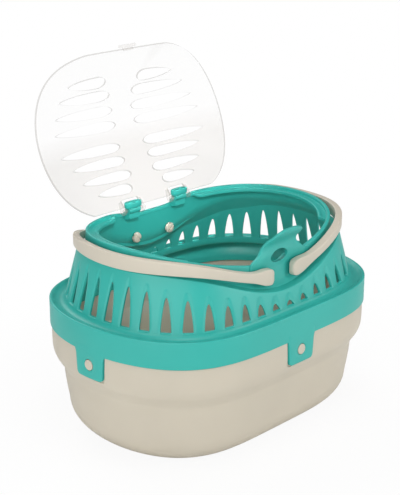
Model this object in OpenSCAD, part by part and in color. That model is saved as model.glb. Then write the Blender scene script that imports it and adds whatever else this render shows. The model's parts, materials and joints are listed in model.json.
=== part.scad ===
// Small pet carrier: a deep tub, a slotted upper shell that clips over it, a clear domed lid
// hinged on the shell's back edge, and two half handles that fold down round the rim.
// X runs along the hinge line, -Y is the latch side, +Y is the hinge side, Z is up.
// The origin is the centre of the tub's underside. The lid stands open and the handles lie down.

/* [Carrier plan] */
// Length over the shell's skirt, along the hinge line
skirt_length = 300; // [285:1:320]
// Width over the shell's skirt, latch side to hinge side
skirt_width = 216; // [212:1:226]
// Squareness of the ends: 2 is an oval, higher is boxier
plan_power = 4.2; // [3.9:0.1:4.6]

/* [Tub] */
// Height of the upper shell's lower edge above the floor
skirt_z = 99; // [92:1:110]
// Wall thickness of the tub
tub_wall = 2.5; // [1.8:0.1:3.2]
// Radius of the turn from the tub's wall to its floor
tub_foot_radius = 28; // [20:1:34]
// How far the tub's wall steps in below its flared lip
lip_step = 8.8; // [7.5:0.1:10]
// Height of the flared lip below the skirt
lip_drop = 37; // [33:1:41]

/* [Upper shell] */
// Height of the skirt from its lower edge to its top edge
skirt_height = 24; // [21:1:28]
// Width of the ledge between the skirt and the wall
ledge_width = 13; // [11:0.5:14]
// Wall thickness of the upper shell
shell_wall = 3; // [2.4:0.1:3.4]
// Inward lean of the slotted wall, in degrees
wall_lean = 13.4; // [12.5:0.1:14.5]
// Rise of the handle groove at the latch and hinge middles, above the wall's foot
groove_low = 14.8; // [13:0.1:17]
// Rise of the handle groove from the middles to the ends
groove_rise = 30.7; // [27:0.1:33]
// Rise of the rim above the groove at the ends
rim_over_groove = 16; // [15:0.1:19]
// Height of the rim at the latch, above the groove there
latch_rim = 25.7; // [25:0.1:28]
// Width of the rim's rounded lip
rim_lip = 3.1; // [2.6:0.1:4]
// Depth of the lid's seat below the rim
seat_depth = 2.5; // [2:0.1:3.5]
// Width of the lid's seat
seat_width = 6.8; // [6:0.1:8]

/* [Slots] */
// Number of slots round the wall
slot_count = 42; // [34:2:44]
// Width of a slot at its foot
slot_width = 9.2; // [6:0.1:10.5]
// Wall left between a slot's tip and the handle groove
slot_margin = 10.5; // [9:0.5:14]

/* [Tabs] */
// Width of a locking tab where it leaves the skirt
tab_width = 34; // [28:0.5:38]
// Length of a locking tab below the skirt
tab_drop = 23; // [20:0.5:25]
// Thickness of a locking tab
tab_thickness = 2.6; // [2.2:0.1:3]
// Gap left at each side of a tab in the tub's recess
tab_gap = 1.5; // [1:0.1:2.5]
// Diameter of the tub's studs
stud_d = 9.4; // [7:0.1:11]
// Clearance round each stud in its tab
stud_clearance = 0.4; // [0.2:0.05:0.8]

/* [Handle] */
// Distance of each handle's pivot from the middle
pivot_x = 21.5; // [20.5:0.1:24]
// Diameter of the handle's pivot pins
pivot_d = 6; // [5:0.1:7]
// Running clearance round the pins and the lid's hinge pins, on the radius
running_clearance = 0.05; // [0.02:0.01:0.09]
// Diameter of the pins' split snap heads
snap_head_d = 10; // [8.5:0.1:11]
// Height of the paddle at each pivot
paddle_height = 14.4; // [13:0.1:16]
// Length of the paddle beyond the pivot
paddle_overhang = 9; // [7:0.1:9.5]
// Height of the handle's band between the paddle and the end
band_height = 8.5; // [7:0.1:9]
// Height of the handle's band at the carrier's ends
end_band_height = 12.5; // [10:0.1:13]
// Radial thickness of the handle along the sides
band_thickness = 6.8; // [5.5:0.1:7]
// Radial thickness of the handle at the carrier's ends
end_band_thickness = 5.5; // [4.5:0.1:5.6]
// Gap between the handle and the rim's band
handle_gap = 1.1; // [0.9:0.1:1.5]

/* [Latch] */
// Half width of the latch tongue at its root
tongue_root = 36; // [33:0.5:38]
// Half width of the latch tongue's thumb flap
tongue_flap = 17.8; // [15:0.1:18]
// Height of the thumb flap above the latch rim
tongue_height = 30; // [27:0.1:32]
// How far the thumb flap curls out
tongue_curl = 12.5; // [11:0.1:14]
// Width of the oval latch hole
latch_hole_width = 22; // [21.5:0.5:26]
// Height of the oval latch hole
latch_hole_height = 12; // [8:0.5:12]

/* [Lid] */
// Thickness of the clear lid
lid_thickness = 2; // [1.6:0.1:2.4]
// Rise of the closed lid's crown above the line from hinge to latch
lid_crown = 24; // [20:0.5:27]
// Width of the lid's slots
lid_slot_width = 9.4; // [6:0.1:10]
// Angle that the lid leans back from vertical when open
lid_lean = 14; // [10:0.5:18]
// Gap between the lid's edge and the rim's lip
lid_gap = 0.9; // [0.7:0.1:1.5]
// Distance of the hinge posts from the middle
hinge_x = 30; // [26:0.5:34]
// Diameter of the lid's hinge pins
hinge_pin_d = 3.6; // [3:0.1:4]
// Diameter of the hinge posts' knuckles
knuckle_d = 7.2; // [6.6:0.1:7.4]
// Width of a hinge post's head
post_head = 19; // [15:0.5:20]
// Length of the latch tab on the lid's free edge
lid_tab = 4.2; // [3:0.1:6]

/* [Hidden] */

half_l = skirt_length / 2;
half_w = skirt_width / 2;
stations = 96;             // points round the plan
seat_fit = 0.3;            // gap where one moulding rests on another

// Wall and skirt levels
wall_z = skirt_z + skirt_height + 2;
lean = tan(wall_lean);
groove_z0 = wall_z + groove_low;
groove_inset = 28.4 - handle_gap;      // inset of the handle's inner face at the middles
rim_end_z = groove_z0 + groove_rise + rim_over_groove;
rim_latch_z = groove_z0 + latch_rim;
rim_hinge_z = rim_end_z - 3.5;
rim_hinge_dip = 6;

// Underside of the shell, and the tub's rim under the skirt with the spigot inside it
shell_under_z = wall_z - 7.3;
tub_top_z = skirt_z - seat_fit;
tub_rim_inset = 1.2;
spigot_drop = 3;           // how far the shell's spigot reaches down inside the tub's rim
spigot_width = 2.4;

// Hinge axis and latch, with the lid shut
hinge_y = half_w - band_inset(rim_hinge_z) - shell_wall - 4.7;
hinge_z = rim_hinge_z - rim_hinge_dip + 7;
tongue_out_y = half_w - band_inset(rim_latch_z) + 2.6;
tongue_in_y = tongue_out_y - 2.6;
latch_z = rim_latch_z + 2;
lid_front_y = tongue_in_y - 1 - lid_tab;
lid_run = norm([hinge_y + lid_front_y, hinge_z - latch_z]);
lid_tilt = atan2(hinge_z - latch_z, hinge_y + lid_front_y);
lid_swing = 90 + lid_tilt + lid_lean;

// One point of the plan: where the ray at angle f meets |x|^plan_power + y^2 = 1
function plan_reach(f, lo = 0.9, hi = 1.6, n = 24) =
    n == 0 ? (lo + hi) / 2
    : let (k = (lo + hi) / 2)
      pow(k * abs(cos(f)), plan_power) + pow(k * sin(f), 2) > 1
          ? plan_reach(f, lo, k, n - 1) : plan_reach(f, k, hi, n - 1);
function unit_point(f) = let (k = plan_reach(f)) [k * cos(f), k * sin(f)];
unit_plan = [for (i = [0:stations - 1]) unit_point(360 * i / stations)];
function at_inset(u, s, z) = [(half_l - s) * u[0], (half_w - s) * u[1], z];
function plan_y(x, s) =
    (half_w - s) * sqrt(max(0, 1 - pow(min(1, abs(x) / (half_l - s)), plan_power)));

function smooth(t) = let (c = min(1, max(0, t))) c * c * (3 - 2 * c);

// Insets from the skirt's outline: the leaning wall, and the upright band behind the handles
function wall_inset(z) = ledge_width + lean * (z - wall_z);
function band_inset(z) = 28.4 + 0.06 * (z - wall_z - 25);

// Height of the handle groove and of the rim; v runs from 0 at the middles to 1 at the ends
function groove_z(v) = groove_z0 + groove_rise * (1 - cos(180 * min(1, abs(v) * 1.02))) / 2;
function rim_front_z(v) =
    rim_latch_z + (rim_end_z - rim_latch_z) * pow(max(0, (abs(v) - 0.283) / 0.717), 1.05);
function rim_back_z(v) =
    rim_hinge_z - rim_hinge_dip + rim_hinge_dip * smooth((abs(v) - 0.1) / 0.4)
    + (rim_end_z - rim_hinge_z) * pow(abs(v), 4);
function rim_z(u) = u[1] < 0 ? rim_front_z(u[0]) : rim_back_z(u[0]);

// The seat runs round the ends; it fades out near the latch and near the hinge
function seat_part(u) = u[1] < 0 ? smooth((abs(u[0]) - 0.74) / 0.06)
                                 : smooth((abs(u[0]) - 0.42) / 0.1);
function lip_part(u) = u[1] < 0 ? smooth((abs(u[0]) - 0.4) / 0.35)
                                : smooth((abs(u[0]) - 0.42) / 0.1);

// Faces of a closed tube: n sections of k points, joined round
function tube_faces(n, k) = [for (i = [0:n - 1], j = [0:k - 1])
    let (a = i * k + j, b = i * k + (j + 1) % k,
         c = ((i + 1) % n) * k + (j + 1) % k, d = ((i + 1) % n) * k + j)
    each [[a, b, c], [a, c, d]]];
// Faces of a bar: n sections of k points with flat ends
function bar_faces(n, k) = [
    [for (j = [k - 1:-1:0]) j],
    [for (j = [0:k - 1]) (n - 1) * k + j],
    for (i = [0:n - 2], j = [0:k - 1])
        let (a = i * k + j, b = i * k + (j + 1) % k,
             c = (i + 1) * k + (j + 1) % k, d = (i + 1) * k + j)
        each [[a, b, c], [a, c, d]]];

module mirrored_x() { children(); mirror([1, 0, 0]) children(); }
module mirrored_y() { children(); mirror([0, 1, 0]) children(); }

// A cylinder along Y, from y0 to y1
module y_cylinder(d, x, z, y0, y1, fn = 48)
    translate([x, y1, z]) rotate([90, 0, 0]) cylinder(d = d, h = y1 - y0, $fn = fn);
// A cylinder along X, from x0 to x1
module x_cylinder(d, y, z, x0, x1, fn = 48)
    translate([x0, y, z]) rotate([0, 90, 0]) cylinder(d = d, h = x1 - x0, $fn = fn);

// ---- Tub ----
lip_z = skirt_z - lip_drop;
foot_inset = tub_rim_inset + lip_step + 3.7;
stud_z = skirt_z - tab_drop + 12;
pocket_inset = tab_thickness + 0.3;        // floor of a tab's recess
pocket_wall = 3;                           // the recess's backing
pad_top = skirt_z - spigot_drop - 0.4;

// A point of the tub's wall, t of the way from the foot's turn to the lip
function tub_wall_point(t, d = 0) =
    [foot_inset - 3.7 + 3.7 * pow(1 - t, 1.6) + d,
     tub_foot_radius + t * (lip_z - 1 - tub_foot_radius)];
function tub_outer() = let (r = tub_foot_radius, e = tub_rim_inset, s = lip_step) concat(
    [for (a = [90:-22.5:22.5]) [foot_inset + r * (1 - cos(a)), r * (1 - sin(a))]],
    [for (t = [0, 0.4, 1]) tub_wall_point(t)],
    [[e + s * 0.86, lip_z + 1.2], [e + s * 0.64, lip_z + 3.6], [e + s * 0.3, lip_z + 8],
     [e + s * 0.06, lip_z + 14], [e, tub_top_z - 0.8], [e + 0.6, tub_top_z]]);
function tub_inner() = let (r = tub_foot_radius - tub_wall, f = foot_inset + tub_wall, t = tub_wall,
                            e = tub_rim_inset + tub_wall, s = lip_step) concat(
    [[e, tub_top_z], [e, lip_z + 14], [e + s * 0.8, lip_z + 1], tub_wall_point(0.4, t),
     [f, r + t]],
    [for (a = [30:30:90]) [f + r * (1 - cos(a)), t + r * (1 - sin(a))]]);

// A plate that follows the plan, from inset s0 to s1 and z0 to z1, cut to a shape seen from -Y
module plan_plate(s0, s1, z0, z1, turned) intersection() {
    polyhedron([for (u = unit_plan) each [at_inset(u, s0, z0), at_inset(u, s0, z1),
                                          at_inset(u, s1, z1), at_inset(u, s1, z0)]],
               tube_faces(stations, 4));
    rotate([0, 0, turned]) translate([0, 0, -1]) rotate([90, 0, 0]) linear_extrude(half_l + 9)
        translate([0, 1]) children();
}
// A tab's outline, grown by g: straight sides that close in a little, with round lower corners
module tab_outline(g) {
    w = tab_width / 2 + g;
    foot = skirt_z - tab_drop - g;
    offset(r = 4, $fn = 16) offset(delta = -4)
        polygon([[-w, skirt_z + 9], [-w + 1.5, foot], [w - 1.5, foot], [w, skirt_z + 9]]);
}

// Faces of a bowl: k rings of n points, closed by a flat cap at each end
function bowl_faces(k, n) = concat(
    [[for (i = [0:n - 1]) i * k]], [[for (i = [n - 1:-1:0]) i * k + k - 1]],
    [for (i = [0:n - 1], j = [0:k - 2])
        let (a = i * k + j, b = a + 1, d = ((i + 1) % n) * k + j, c = d + 1)
        each [[a, b, c], [a, c, d]]]);

module tub_mesh() resize([0, 0, 0]) difference() {
    section = concat(tub_outer(), tub_inner());
    union() {
        polyhedron([for (u = unit_plan) for (q = section) at_inset(u, q[0], q[1])],
                   bowl_faces(len(section), stations));
        for (turned = [0:90:270])
            plan_plate(tub_rim_inset + 1, pocket_inset + pocket_wall, skirt_z - tab_drop - 5, pad_top,
                       turned) tab_outline(tab_gap + 3);
    }
    for (turned = [0:90:270]) {
        plan_plate(-2, pocket_inset, lip_z, skirt_z + 2, turned) tab_outline(tab_gap);
        plan_plate(-2, pocket_inset + pocket_wall + 2, pad_top, skirt_z + 2, turned)
            tab_outline(tab_gap);
    }
}
module base_tub() color([0.79, 0.76, 0.70]) {
    stud_root = pocket_inset + pocket_wall / 2;
    stud_reach = 0.5;
    union() {
        tub_mesh();
        mirrored_x() x_cylinder(stud_d, 0, stud_z, half_l - stud_root, half_l + stud_reach);
        mirrored_y() y_cylinder(stud_d, 0, stud_z, half_w - stud_root, half_w + stud_reach);
    }
}

// ---- Upper shell ----
spigot_out = tub_rim_inset + tub_wall + seat_fit;
spigot_in = spigot_out + spigot_width;
function shell_section(u) =
    let (v = u[0], g = groove_z(v), r = rim_z(u), w = shell_wall,
         seat = seat_part(u), lip = w + (rim_lip - w) * lip_part(u),
         top = band_inset(r), base = band_inset(g + 1), top_z = skirt_z + skirt_height,
         seat_z = r - seat_depth * lip_part(u), ridge_up = seat,
         seat_s = top + lip + 0.2, seat_run = 0.3 + (seat_width - 0.3) * seat)
    [[spigot_in, skirt_z - spigot_drop], [spigot_out, skirt_z - spigot_drop],
     [spigot_out, skirt_z], [0.6, skirt_z], [0, skirt_z + 1], [0, top_z - 1.6],
     [0.9, top_z], [2, top_z - 0.1], [4.6, top_z - 2.5], [9, top_z - 3],
     [ledge_width - 0.6, top_z - 0.8],
     [wall_inset(g), g], [base, g + 1],
     [top + 0.1, r - 1.6], [top + 1.1, r], [top + lip - 0.9, r], [top + lip, seat_z],
     [seat_s, seat_z - 0.6], [seat_s + seat_run * 0.55, seat_z - 0.6],
     [seat_s + seat_run * 0.68, seat_z - 0.6 + ridge_up],
     [seat_s + seat_run * 0.95, seat_z - 0.6 + ridge_up], [seat_s + seat_run, seat_z - 3],
     [top + w + 0.2, seat_z - 4],
     [base + w, g - 1.4], [wall_inset(g - 3) + w, g - 3],
     [ledge_width + w, wall_z - 1.8], [ledge_width + 1.5, shell_under_z], [w, shell_under_z],
     [w, skirt_z + 10], [spigot_in, skirt_z + 4]];

// Running length round the wall's foot, for the even spacing of the slots
wall_ring = [for (u = unit_plan) at_inset(u, ledge_width, wall_z)];
function run_length(i, s = 0, j = 0) =
    j == i ? s : run_length(i, s + norm(wall_ring[(j + 1) % stations] - wall_ring[j % stations]), j + 1);
ring_runs = [for (i = [0:stations]) run_length(i)];
function ring_at(d, i = 0) =
    ring_runs[i + 1] >= d || i == stations - 1
        ? let (t = (d - ring_runs[i]) / (ring_runs[i + 1] - ring_runs[i]),
               p = wall_ring[i], q = wall_ring[(i + 1) % stations])
          [p + t * (q - p), atan2(q[1] - p[1], q[0] - p[0])]
        : ring_at(d, i + 1);

function slot_tip_z(v) = groove_z(v) - slot_margin
    - 6.5 * smooth((abs(v) - 0.3) / 0.35) + 5 * smooth((abs(v) - 0.85) / 0.15);
// Half a slot's outline: share of the height, share of the half width
slot_half = [[0, 1], [0.25, 0.9], [0.5, 0.75], [0.75, 0.53], [0.9, 0.33]];
module slot(i) {
    place = ring_at(ring_runs[stations] * ((i + 0.5) / slot_count - floor((i + 0.5) / slot_count)));
    v = place[0][0] / (half_l - ledge_width);
    h = slot_tip_z(v) - wall_z;
    w = slot_width / 2;
    translate([place[0][0], place[0][1], wall_z]) rotate([90, 0, place[1]])
        translate([0, 0, -18]) linear_extrude(22 + 2 * lean * h)
            polygon(concat([for (q = slot_half) [w * q[1], h * q[0]]], [[0, h]],
                           [for (j = [len(slot_half) - 1:-1:0])
                               [-w * slot_half[j][1], h * slot_half[j][0]]]));
}

// The latch tongue, as sections going up: half width, outer face's reach beyond the rim, rise
function tongue_rows() = let (h = tongue_height, f = tongue_flap, r = tongue_root, c = tongue_curl) [
    [r + 1, -2.4, -10], [r, -1.4, 0], [r - 1.8, -0.8, 2.5], [r - 5.5, -0.1, 5.5],
    [r - 8.5, 0, 8.5], [r - 10.8, 0.1, 12], [r - 11.7, 0.3, 0.49 * h], [r - 13.2, 0.07 * c, 0.58 * h],
    [f + 3, 0.2 * c, 0.65 * h], [f + 0.4, 0.4 * c, 0.72 * h], [f, 0.64 * c, 0.79 * h],
    [f - 0.3, 0.83 * c, 0.845 * h], [f - 2.3, 0.93 * c, 0.9 * h], [f - 6.4, 0.98 * c, 0.95 * h],
    [f - 11.8, c, 0.985 * h], [f - 15.2, c, h]];
module tongue() {
    rows = tongue_rows();
    n = len(rows);
    slope = [for (i = [0:n - 1])
        let (a = rows[max(0, i - 1)], b = rows[min(n - 1, i + 1)], d = [b[1] - a[1], b[2] - a[2]])
        d / norm(d)];
    t = 2.6;
    polyhedron([for (i = [0:n - 1]) let (q = rows[i], s = slope[i])
        each [[q[0], -(tongue_out_y + q[1]), rim_latch_z + q[2]],
              [-q[0], -(tongue_out_y + q[1]), rim_latch_z + q[2]],
              [-q[0], -(tongue_out_y + q[1] - t * s[1]), rim_latch_z + q[2] + t * s[0]],
              [q[0], -(tongue_out_y + q[1] - t * s[1]), rim_latch_z + q[2] + t * s[0]]]],
        bar_faces(n, 4));
}
module latch_hole() translate([0, 0, latch_z])
    scale([latch_hole_width / latch_hole_height, 1, 1])
        y_cylinder(latch_hole_height, 0, 0, -tongue_out_y - 6, -tongue_in_y + 8, 32);

// One locking tab, hanging from the skirt and thickened at its root to meet the spigot
module locking_tab(turned) {
    plan_plate(0, tab_thickness, lip_z, skirt_z + 5, turned) tab_outline(0);
    plan_plate(0.8, spigot_out + 1, pad_top + 0.8, skirt_z + 5, turned) tab_outline(-0.2);
}

// One hinge post: a web from the wall, a knuckle and a T head
module hinge_post() {
    neck = 8;
    wall_in_y = half_w - band_inset(hinge_z) - shell_wall;
    web_z = hinge_z - 10;
    translate([hinge_x - neck / 2, hinge_y - 1.8, web_z])
        cube([neck, wall_in_y + 1.5 - hinge_y + 1.8, hinge_z - web_z - 1]);
    translate([hinge_x - neck / 2, hinge_y - 2.4, hinge_z])
        cube([neck, 4.8, 4]);
    translate([hinge_x, hinge_y, hinge_z + 3]) linear_extrude(4.6)
        offset(r = 1.2, $fn = 16) square([post_head - 2.4, 5.4], center = true);
}

module shell_mesh() resize([0, 0, 0]) union() {
    difference() {
        polyhedron([for (u = unit_plan) each [for (q = shell_section(u)) at_inset(u, q[0], q[1])]],
                   tube_faces(stations, len(shell_section(unit_plan[0]))));
        for (i = [0:slot_count - 1]) slot(i);
        latch_hole();
    }
    difference() { tongue(); latch_hole(); }
    for (turned = [0:90:270]) locking_tab(turned);
    mirrored_x() hinge_post();
    mirrored_x() x_cylinder(knuckle_d, hinge_y, hinge_z, hinge_x - 4, hinge_x + 4, 32);
}

module upper_shell() color([0.27, 0.71, 0.67]) difference() {
    shell_mesh();
    // Bores of the lid's hinge pins
    mirrored_x()
        x_cylinder(hinge_pin_d + 2 * running_clearance, hinge_y, hinge_z, hinge_x - 6, hinge_x + 6);
    // Bores of the handle pivots, through the band on both sides
    mirrored_x() mirrored_y()
        y_cylinder(pivot_d + 2 * running_clearance, pivot_x, pivot_z,
                   half_w - 36, half_w - groove_inset + 2);
    // Holes over the tub's studs
    mirrored_x() x_cylinder(stud_d + 2 * stud_clearance, 0, stud_z, half_l - 3.3, half_l + 4);
    mirrored_y() y_cylinder(stud_d + 2 * stud_clearance, 0, stud_z, half_w - 3.3, half_w + 4);
}

// ---- Handles ----
handle_inset = groove_inset - band_thickness;
function groove_gap(v) = 1 + 7.2 * (1 - pow(min(1, abs(v)), 1.4));
function plain_h(v) =
    band_height + (end_band_height - band_height) * pow(max(0, (abs(v) - 0.45) / 0.55), 1.5);
function band_h(x, v) =
    plain_h(v) + (paddle_height - band_height) * exp(-pow(max(0, abs(x) - pivot_x) / 12, 2));
function band_mid_z(x, v) = groove_z(v) + groove_gap(v) + plain_h(v) / 2;
function band_t(v) = band_thickness + (end_band_thickness - band_thickness) * smooth(abs(v));
pivot_v = pivot_x / (half_l - handle_inset);
pivot_z = band_mid_z(pivot_x, pivot_v);

// Plan points of one half handle, from the latch side round the end to the hinge side
tip_x = pivot_x - paddle_overhang;
handle_plan = concat(
    [for (x = [tip_x, tip_x + 1.6, tip_x + 4, pivot_x, pivot_x + 6, pivot_x + 12, pivot_x + 20])
        let (v = x / (half_l - handle_inset)) [v, -sqrt(1 - pow(v, plan_power))]],
    [for (f = [-62:4:62]) unit_point(f)],
    [for (x = [pivot_x + 20, pivot_x + 12, pivot_x + 6, pivot_x, tip_x + 4, tip_x + 1.6, tip_x])
        let (v = x / (half_l - handle_inset)) [v, sqrt(1 - pow(v, plan_power))]]);
function tip_round(x) = x < tip_x + 0.5 ? 0.62 : x < tip_x + 2.5 ? 0.88 : 1;
function handle_section(u) =
    let (x = u[0] * (half_l - handle_inset), z = band_mid_z(x, u[0]),
         h = band_h(x, u[0]) * tip_round(x) / 2, t = band_t(u[0]), c = min(2, t / 3))
    [[handle_inset + c, z - h], [handle_inset, z - h + c], [handle_inset, z + h - c],
     [handle_inset + c, z + h], [handle_inset + t - 1, z + h], [handle_inset + t, z + h - 1],
     [handle_inset + t, z - h + 1], [handle_inset + t - 1, z - h]];

module half_handle() color([0.78, 0.75, 0.70]) {
    face_y = half_w - handle_inset - band_thickness;
    panel_in_y = half_w - band_inset(pivot_z) - shell_wall;
    union() {
        polyhedron([for (u = handle_plan) for (q = handle_section(u)) at_inset(u, q[0], q[1])],
                   bar_faces(len(handle_plan), 8));
        mirrored_y() difference() {
            union() {
                y_cylinder(pivot_d, pivot_x, pivot_z, panel_in_y - 3.5, face_y + 2);
                y_cylinder(snap_head_d, pivot_x, pivot_z, panel_in_y - 4.2, panel_in_y - 0.9);
            }
            translate([pivot_x, panel_in_y - 3.4, pivot_z]) rotate([0, 35, 0])
                cube([1.4, 5, snap_head_d + 2], center = true);
        }
    }
}
module right_handle() half_handle();
module left_handle() mirror([1, 0, 0]) half_handle();

// ---- Lid ----
// The closed lid: a dome whose edge follows the seat, the latch and the hinge line
lid_front = lid_front_y;
lid_back = hinge_y - 3;
lid_mid_y = hinge_y - 0.6 * (hinge_y + lid_front);     // the crown lies nearer the latch
lid_mid_z = hinge_z - 0.6 * (hinge_z - latch_z) + lid_crown;
seat_lift = lid_thickness / 2 + 1 - seat_depth - 0.2;  // edge's mid height over the rim on the seat

function lid_edge_z(u) = let (v = abs(u[0]), r = rim_z(u))
    u[1] < 0 ? r + latch_z - rim_latch_z + (seat_lift - latch_z + rim_latch_z) * smooth((v - 0.25) / 0.3)
             : hinge_z + (r + seat_lift - hinge_z) * smooth((v - 0.3) / 0.3);
function lid_edge(u) =
    let (s = band_inset(rim_z(u)) + shell_wall + (rim_lip - shell_wall) * lip_part(u) + lid_gap)
    [(half_l - s) * u[0], min(lid_back, max(-lid_front, (half_w - s) * u[1])), lid_edge_z(u)];
lid_outline = [for (u = unit_plan) lid_edge(u)];
lid_rings = [0, 0.36, 0.66, 0.87, 1];
function lid_point(p, r, n) =
    let (q = max(r, 0.02), drop = lid_mid_z - p[2],
         steep = 1.9 * drop * pow(q, 0.9) / norm([p[0], p[1] - lid_mid_y]))
    [p[0] * q, lid_mid_y + (p[1] - lid_mid_y) * q,
     lid_mid_z - drop * pow(q, 1.9) + n * sqrt(1 + steep * steep)];

// The closed lid's skin: rings from the middle out, then back along the top
module lid_skin() {
    levels = concat([for (r = lid_rings) [r, -lid_thickness / 2]],
                    [for (j = [len(lid_rings) - 1:-1:0]) [lid_rings[j], lid_thickness / 2]]);
    polyhedron([for (p = lid_outline) for (q = levels) lid_point(p, q[0], q[1])],
               bowl_faces(len(levels), len(lid_outline)));
}

// Slots of one half: distance from the hinge, inner end, outer end
function lid_slots() = [[20, 20, 62], [33, 14, 75], [47, 15, 81], [60, 15, 91],
                        [81, 12, 91], [95, 12, 86], [109, 14, 78], [121, 20, 65]];
module lid_slot(w, x0, x1) {
    share = w * lid_run / 146;
    round_part = 0.22;
    steps = [for (i = [0:4]) i / 4];
    width = [for (t = steps) sqrt(1 - pow(1 - t, 2))];
    half = concat([for (i = [0:3]) [round_part * steps[i], width[i]]],
                  [for (t = steps) [round_part + (1 - round_part) * t, pow(1 - pow(t, 2.2), 0.7)]]);
    translate([0, hinge_y - share, hinge_z - 30]) linear_extrude(80)
        polygon(concat([for (q = half) [x0 + (x1 - x0) * q[0], lid_slot_width / 2 * q[1]]],
                       [for (i = [len(half) - 2:-1:1])
                           [x0 + (x1 - x0) * half[i][0], -lid_slot_width / 2 * half[i][1]]]));
}

module lid_ears() {
    ear = 2.5;
    inner = post_head / 2 + 1;
    for (x = [hinge_x - inner - ear, hinge_x + inner])
        translate([x, 0, 0]) rotate([90, 0, 90]) linear_extrude(ear) union() {
            translate([hinge_y, hinge_z]) circle(d = knuckle_d, $fn = 24);
            polygon([[hinge_y, hinge_z - knuckle_d / 2], [hinge_y, hinge_z + knuckle_d / 2],
                     [hinge_y - 9, hinge_z + 2.5], [hinge_y - 9, hinge_z + 0.5]]);
        }
}

module latch_tab() {
    reach = lid_front + lid_tab;
    translate([0, 0, latch_z - 1]) linear_extrude(2)
        polygon([[-6, 1.5 - lid_front], [-6, 2.5 - reach], [-10.5, 2.5 - reach], [-10.5, -reach],
                 [10.5, -reach], [10.5, 2.5 - reach], [6, 2.5 - reach], [6, 1.5 - lid_front]]);
}

module lid_mesh() resize([0, 0, 0]) union() {
    difference() {
        lid_skin();
        mirrored_x() for (q = lid_slots()) lid_slot(q[0], q[1], q[2]);
        // Notches that clear the hinge posts
        mirrored_x() translate([hinge_x - post_head / 2 - 1, hinge_y - 10.5, hinge_z - 20])
            cube([post_head + 2, 30, 40]);
    }
    mirrored_x() lid_ears();
    latch_tab();
}

module clear_lid() color([0.93, 0.94, 0.94, 0.5])
    translate([0, hinge_y, hinge_z]) rotate([-lid_swing, 0, 0]) translate([0, -hinge_y, -hinge_z])
        union() {
            lid_mesh();
            mirrored_x() x_cylinder(hinge_pin_d, hinge_y, hinge_z,
                                    hinge_x - post_head / 2 - 2, hinge_x + post_head / 2 + 2);
        }

base_tub();
upper_shell();
clear_lid();
left_handle();
right_handle();
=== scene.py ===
"""Small pet carrier: looks for the tub, the slotted shell, the clear lid and the folding handle."""

import json
import math

import bmesh
import bpy
import numpy as np
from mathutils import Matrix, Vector
from mathutils.geometry import delaunay_2d_cdt


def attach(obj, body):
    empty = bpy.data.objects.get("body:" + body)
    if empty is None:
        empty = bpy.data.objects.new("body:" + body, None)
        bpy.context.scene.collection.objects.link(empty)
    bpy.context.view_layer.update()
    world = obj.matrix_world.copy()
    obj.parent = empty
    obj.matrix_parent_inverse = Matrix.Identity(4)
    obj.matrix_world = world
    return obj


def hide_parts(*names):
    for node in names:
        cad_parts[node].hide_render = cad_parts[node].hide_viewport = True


bl_info = {
    "name": "Small pet carrier",
    "version": (1, 0, 0),
    "blender": (4, 5, 0),
    "location": "3D View > Sidebar > Carrier",
    "description": "Builds a small pet carrier with its materials, light and camera",
    "category": "Add Mesh",
}

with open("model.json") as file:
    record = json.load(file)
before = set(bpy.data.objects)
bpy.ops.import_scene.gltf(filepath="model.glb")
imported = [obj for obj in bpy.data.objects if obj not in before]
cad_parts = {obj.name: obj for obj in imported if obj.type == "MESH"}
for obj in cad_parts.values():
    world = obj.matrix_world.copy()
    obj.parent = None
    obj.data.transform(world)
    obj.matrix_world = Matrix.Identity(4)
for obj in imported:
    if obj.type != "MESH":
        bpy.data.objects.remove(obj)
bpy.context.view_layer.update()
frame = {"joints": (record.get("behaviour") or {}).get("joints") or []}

MM = 0.001
JOINT_PLACES = {j["name"]: [c / MM for c in j["pos_m"]] for j in frame["joints"]}
HINGE = JOINT_PLACES["lid_hinge"]
PIVOT = JOINT_PLACES["right_handle_pivot"]


# ---- Sizes and colours -------------------------------------------------------------------


def length(name, text, value):
    """A length property, given in millimetres"""
    return bpy.props.FloatProperty(name=name, description=text, default=value * MM,
                                   min=0.0, unit="LENGTH", precision=5)


def angle(name, text, value):
    """An angle property, given in degrees"""
    return bpy.props.FloatProperty(name=name, description=text, default=math.radians(value),
                                   subtype="ANGLE")


def colour(name, text, value):
    return bpy.props.FloatVectorProperty(name=name, description=text, default=value, size=3,
                                         min=0.0, max=1.0, subtype="COLOR")


def number(name, text, value, low=0.0, high=1.0):
    return bpy.props.FloatProperty(name=name, description=text, default=value, min=low, max=high)


class CARRIER_PG_plan(bpy.types.PropertyGroup):
    """Sizes that every piece shares"""

    half_l: length("Half length", "Half the length over the skirt", 150)
    half_w: length("Half width", "Half the width over the skirt", 108)
    power: number("Squareness", "Squareness of the ends: 2 is an oval", 4.2, 2.0, 6.0)
    ledge: length("Ledge", "Width of the ledge inside the skirt", 13)
    wall_z: length("Wall foot", "Height of the slotted wall's foot", 125)
    lean: angle("Lean", "Inward lean of the slotted wall", 13.4)


class CARRIER_PG_tub(bpy.types.PropertyGroup):
    """The tub"""

    foot_radius: length("Foot radius", "Turn from the wall to the floor", 28)
    wall: length("Wall", "Thickness of the wall", 2.5)
    stud_d: length("Stud", "Diameter of the studs", 9.4)
    tint: colour("Colour", "Colour of the tub's plastic", (0.592, 0.545, 0.452))


class CARRIER_PG_shell(bpy.types.PropertyGroup):
    """The upper shell"""

    wall: length("Wall", "Thickness of the wall", 3)
    slots: bpy.props.IntProperty(name="Slots", description="Slots round the wall", default=42)
    slot_w: length("Slot width", "Width of a slot at its foot", 9.2)
    flare: length("Flare", "How deep the scoop round a slot is", 0.9)
    tint: colour("Colour", "Colour of the shell's plastic", (0.03, 0.44, 0.39))


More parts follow.
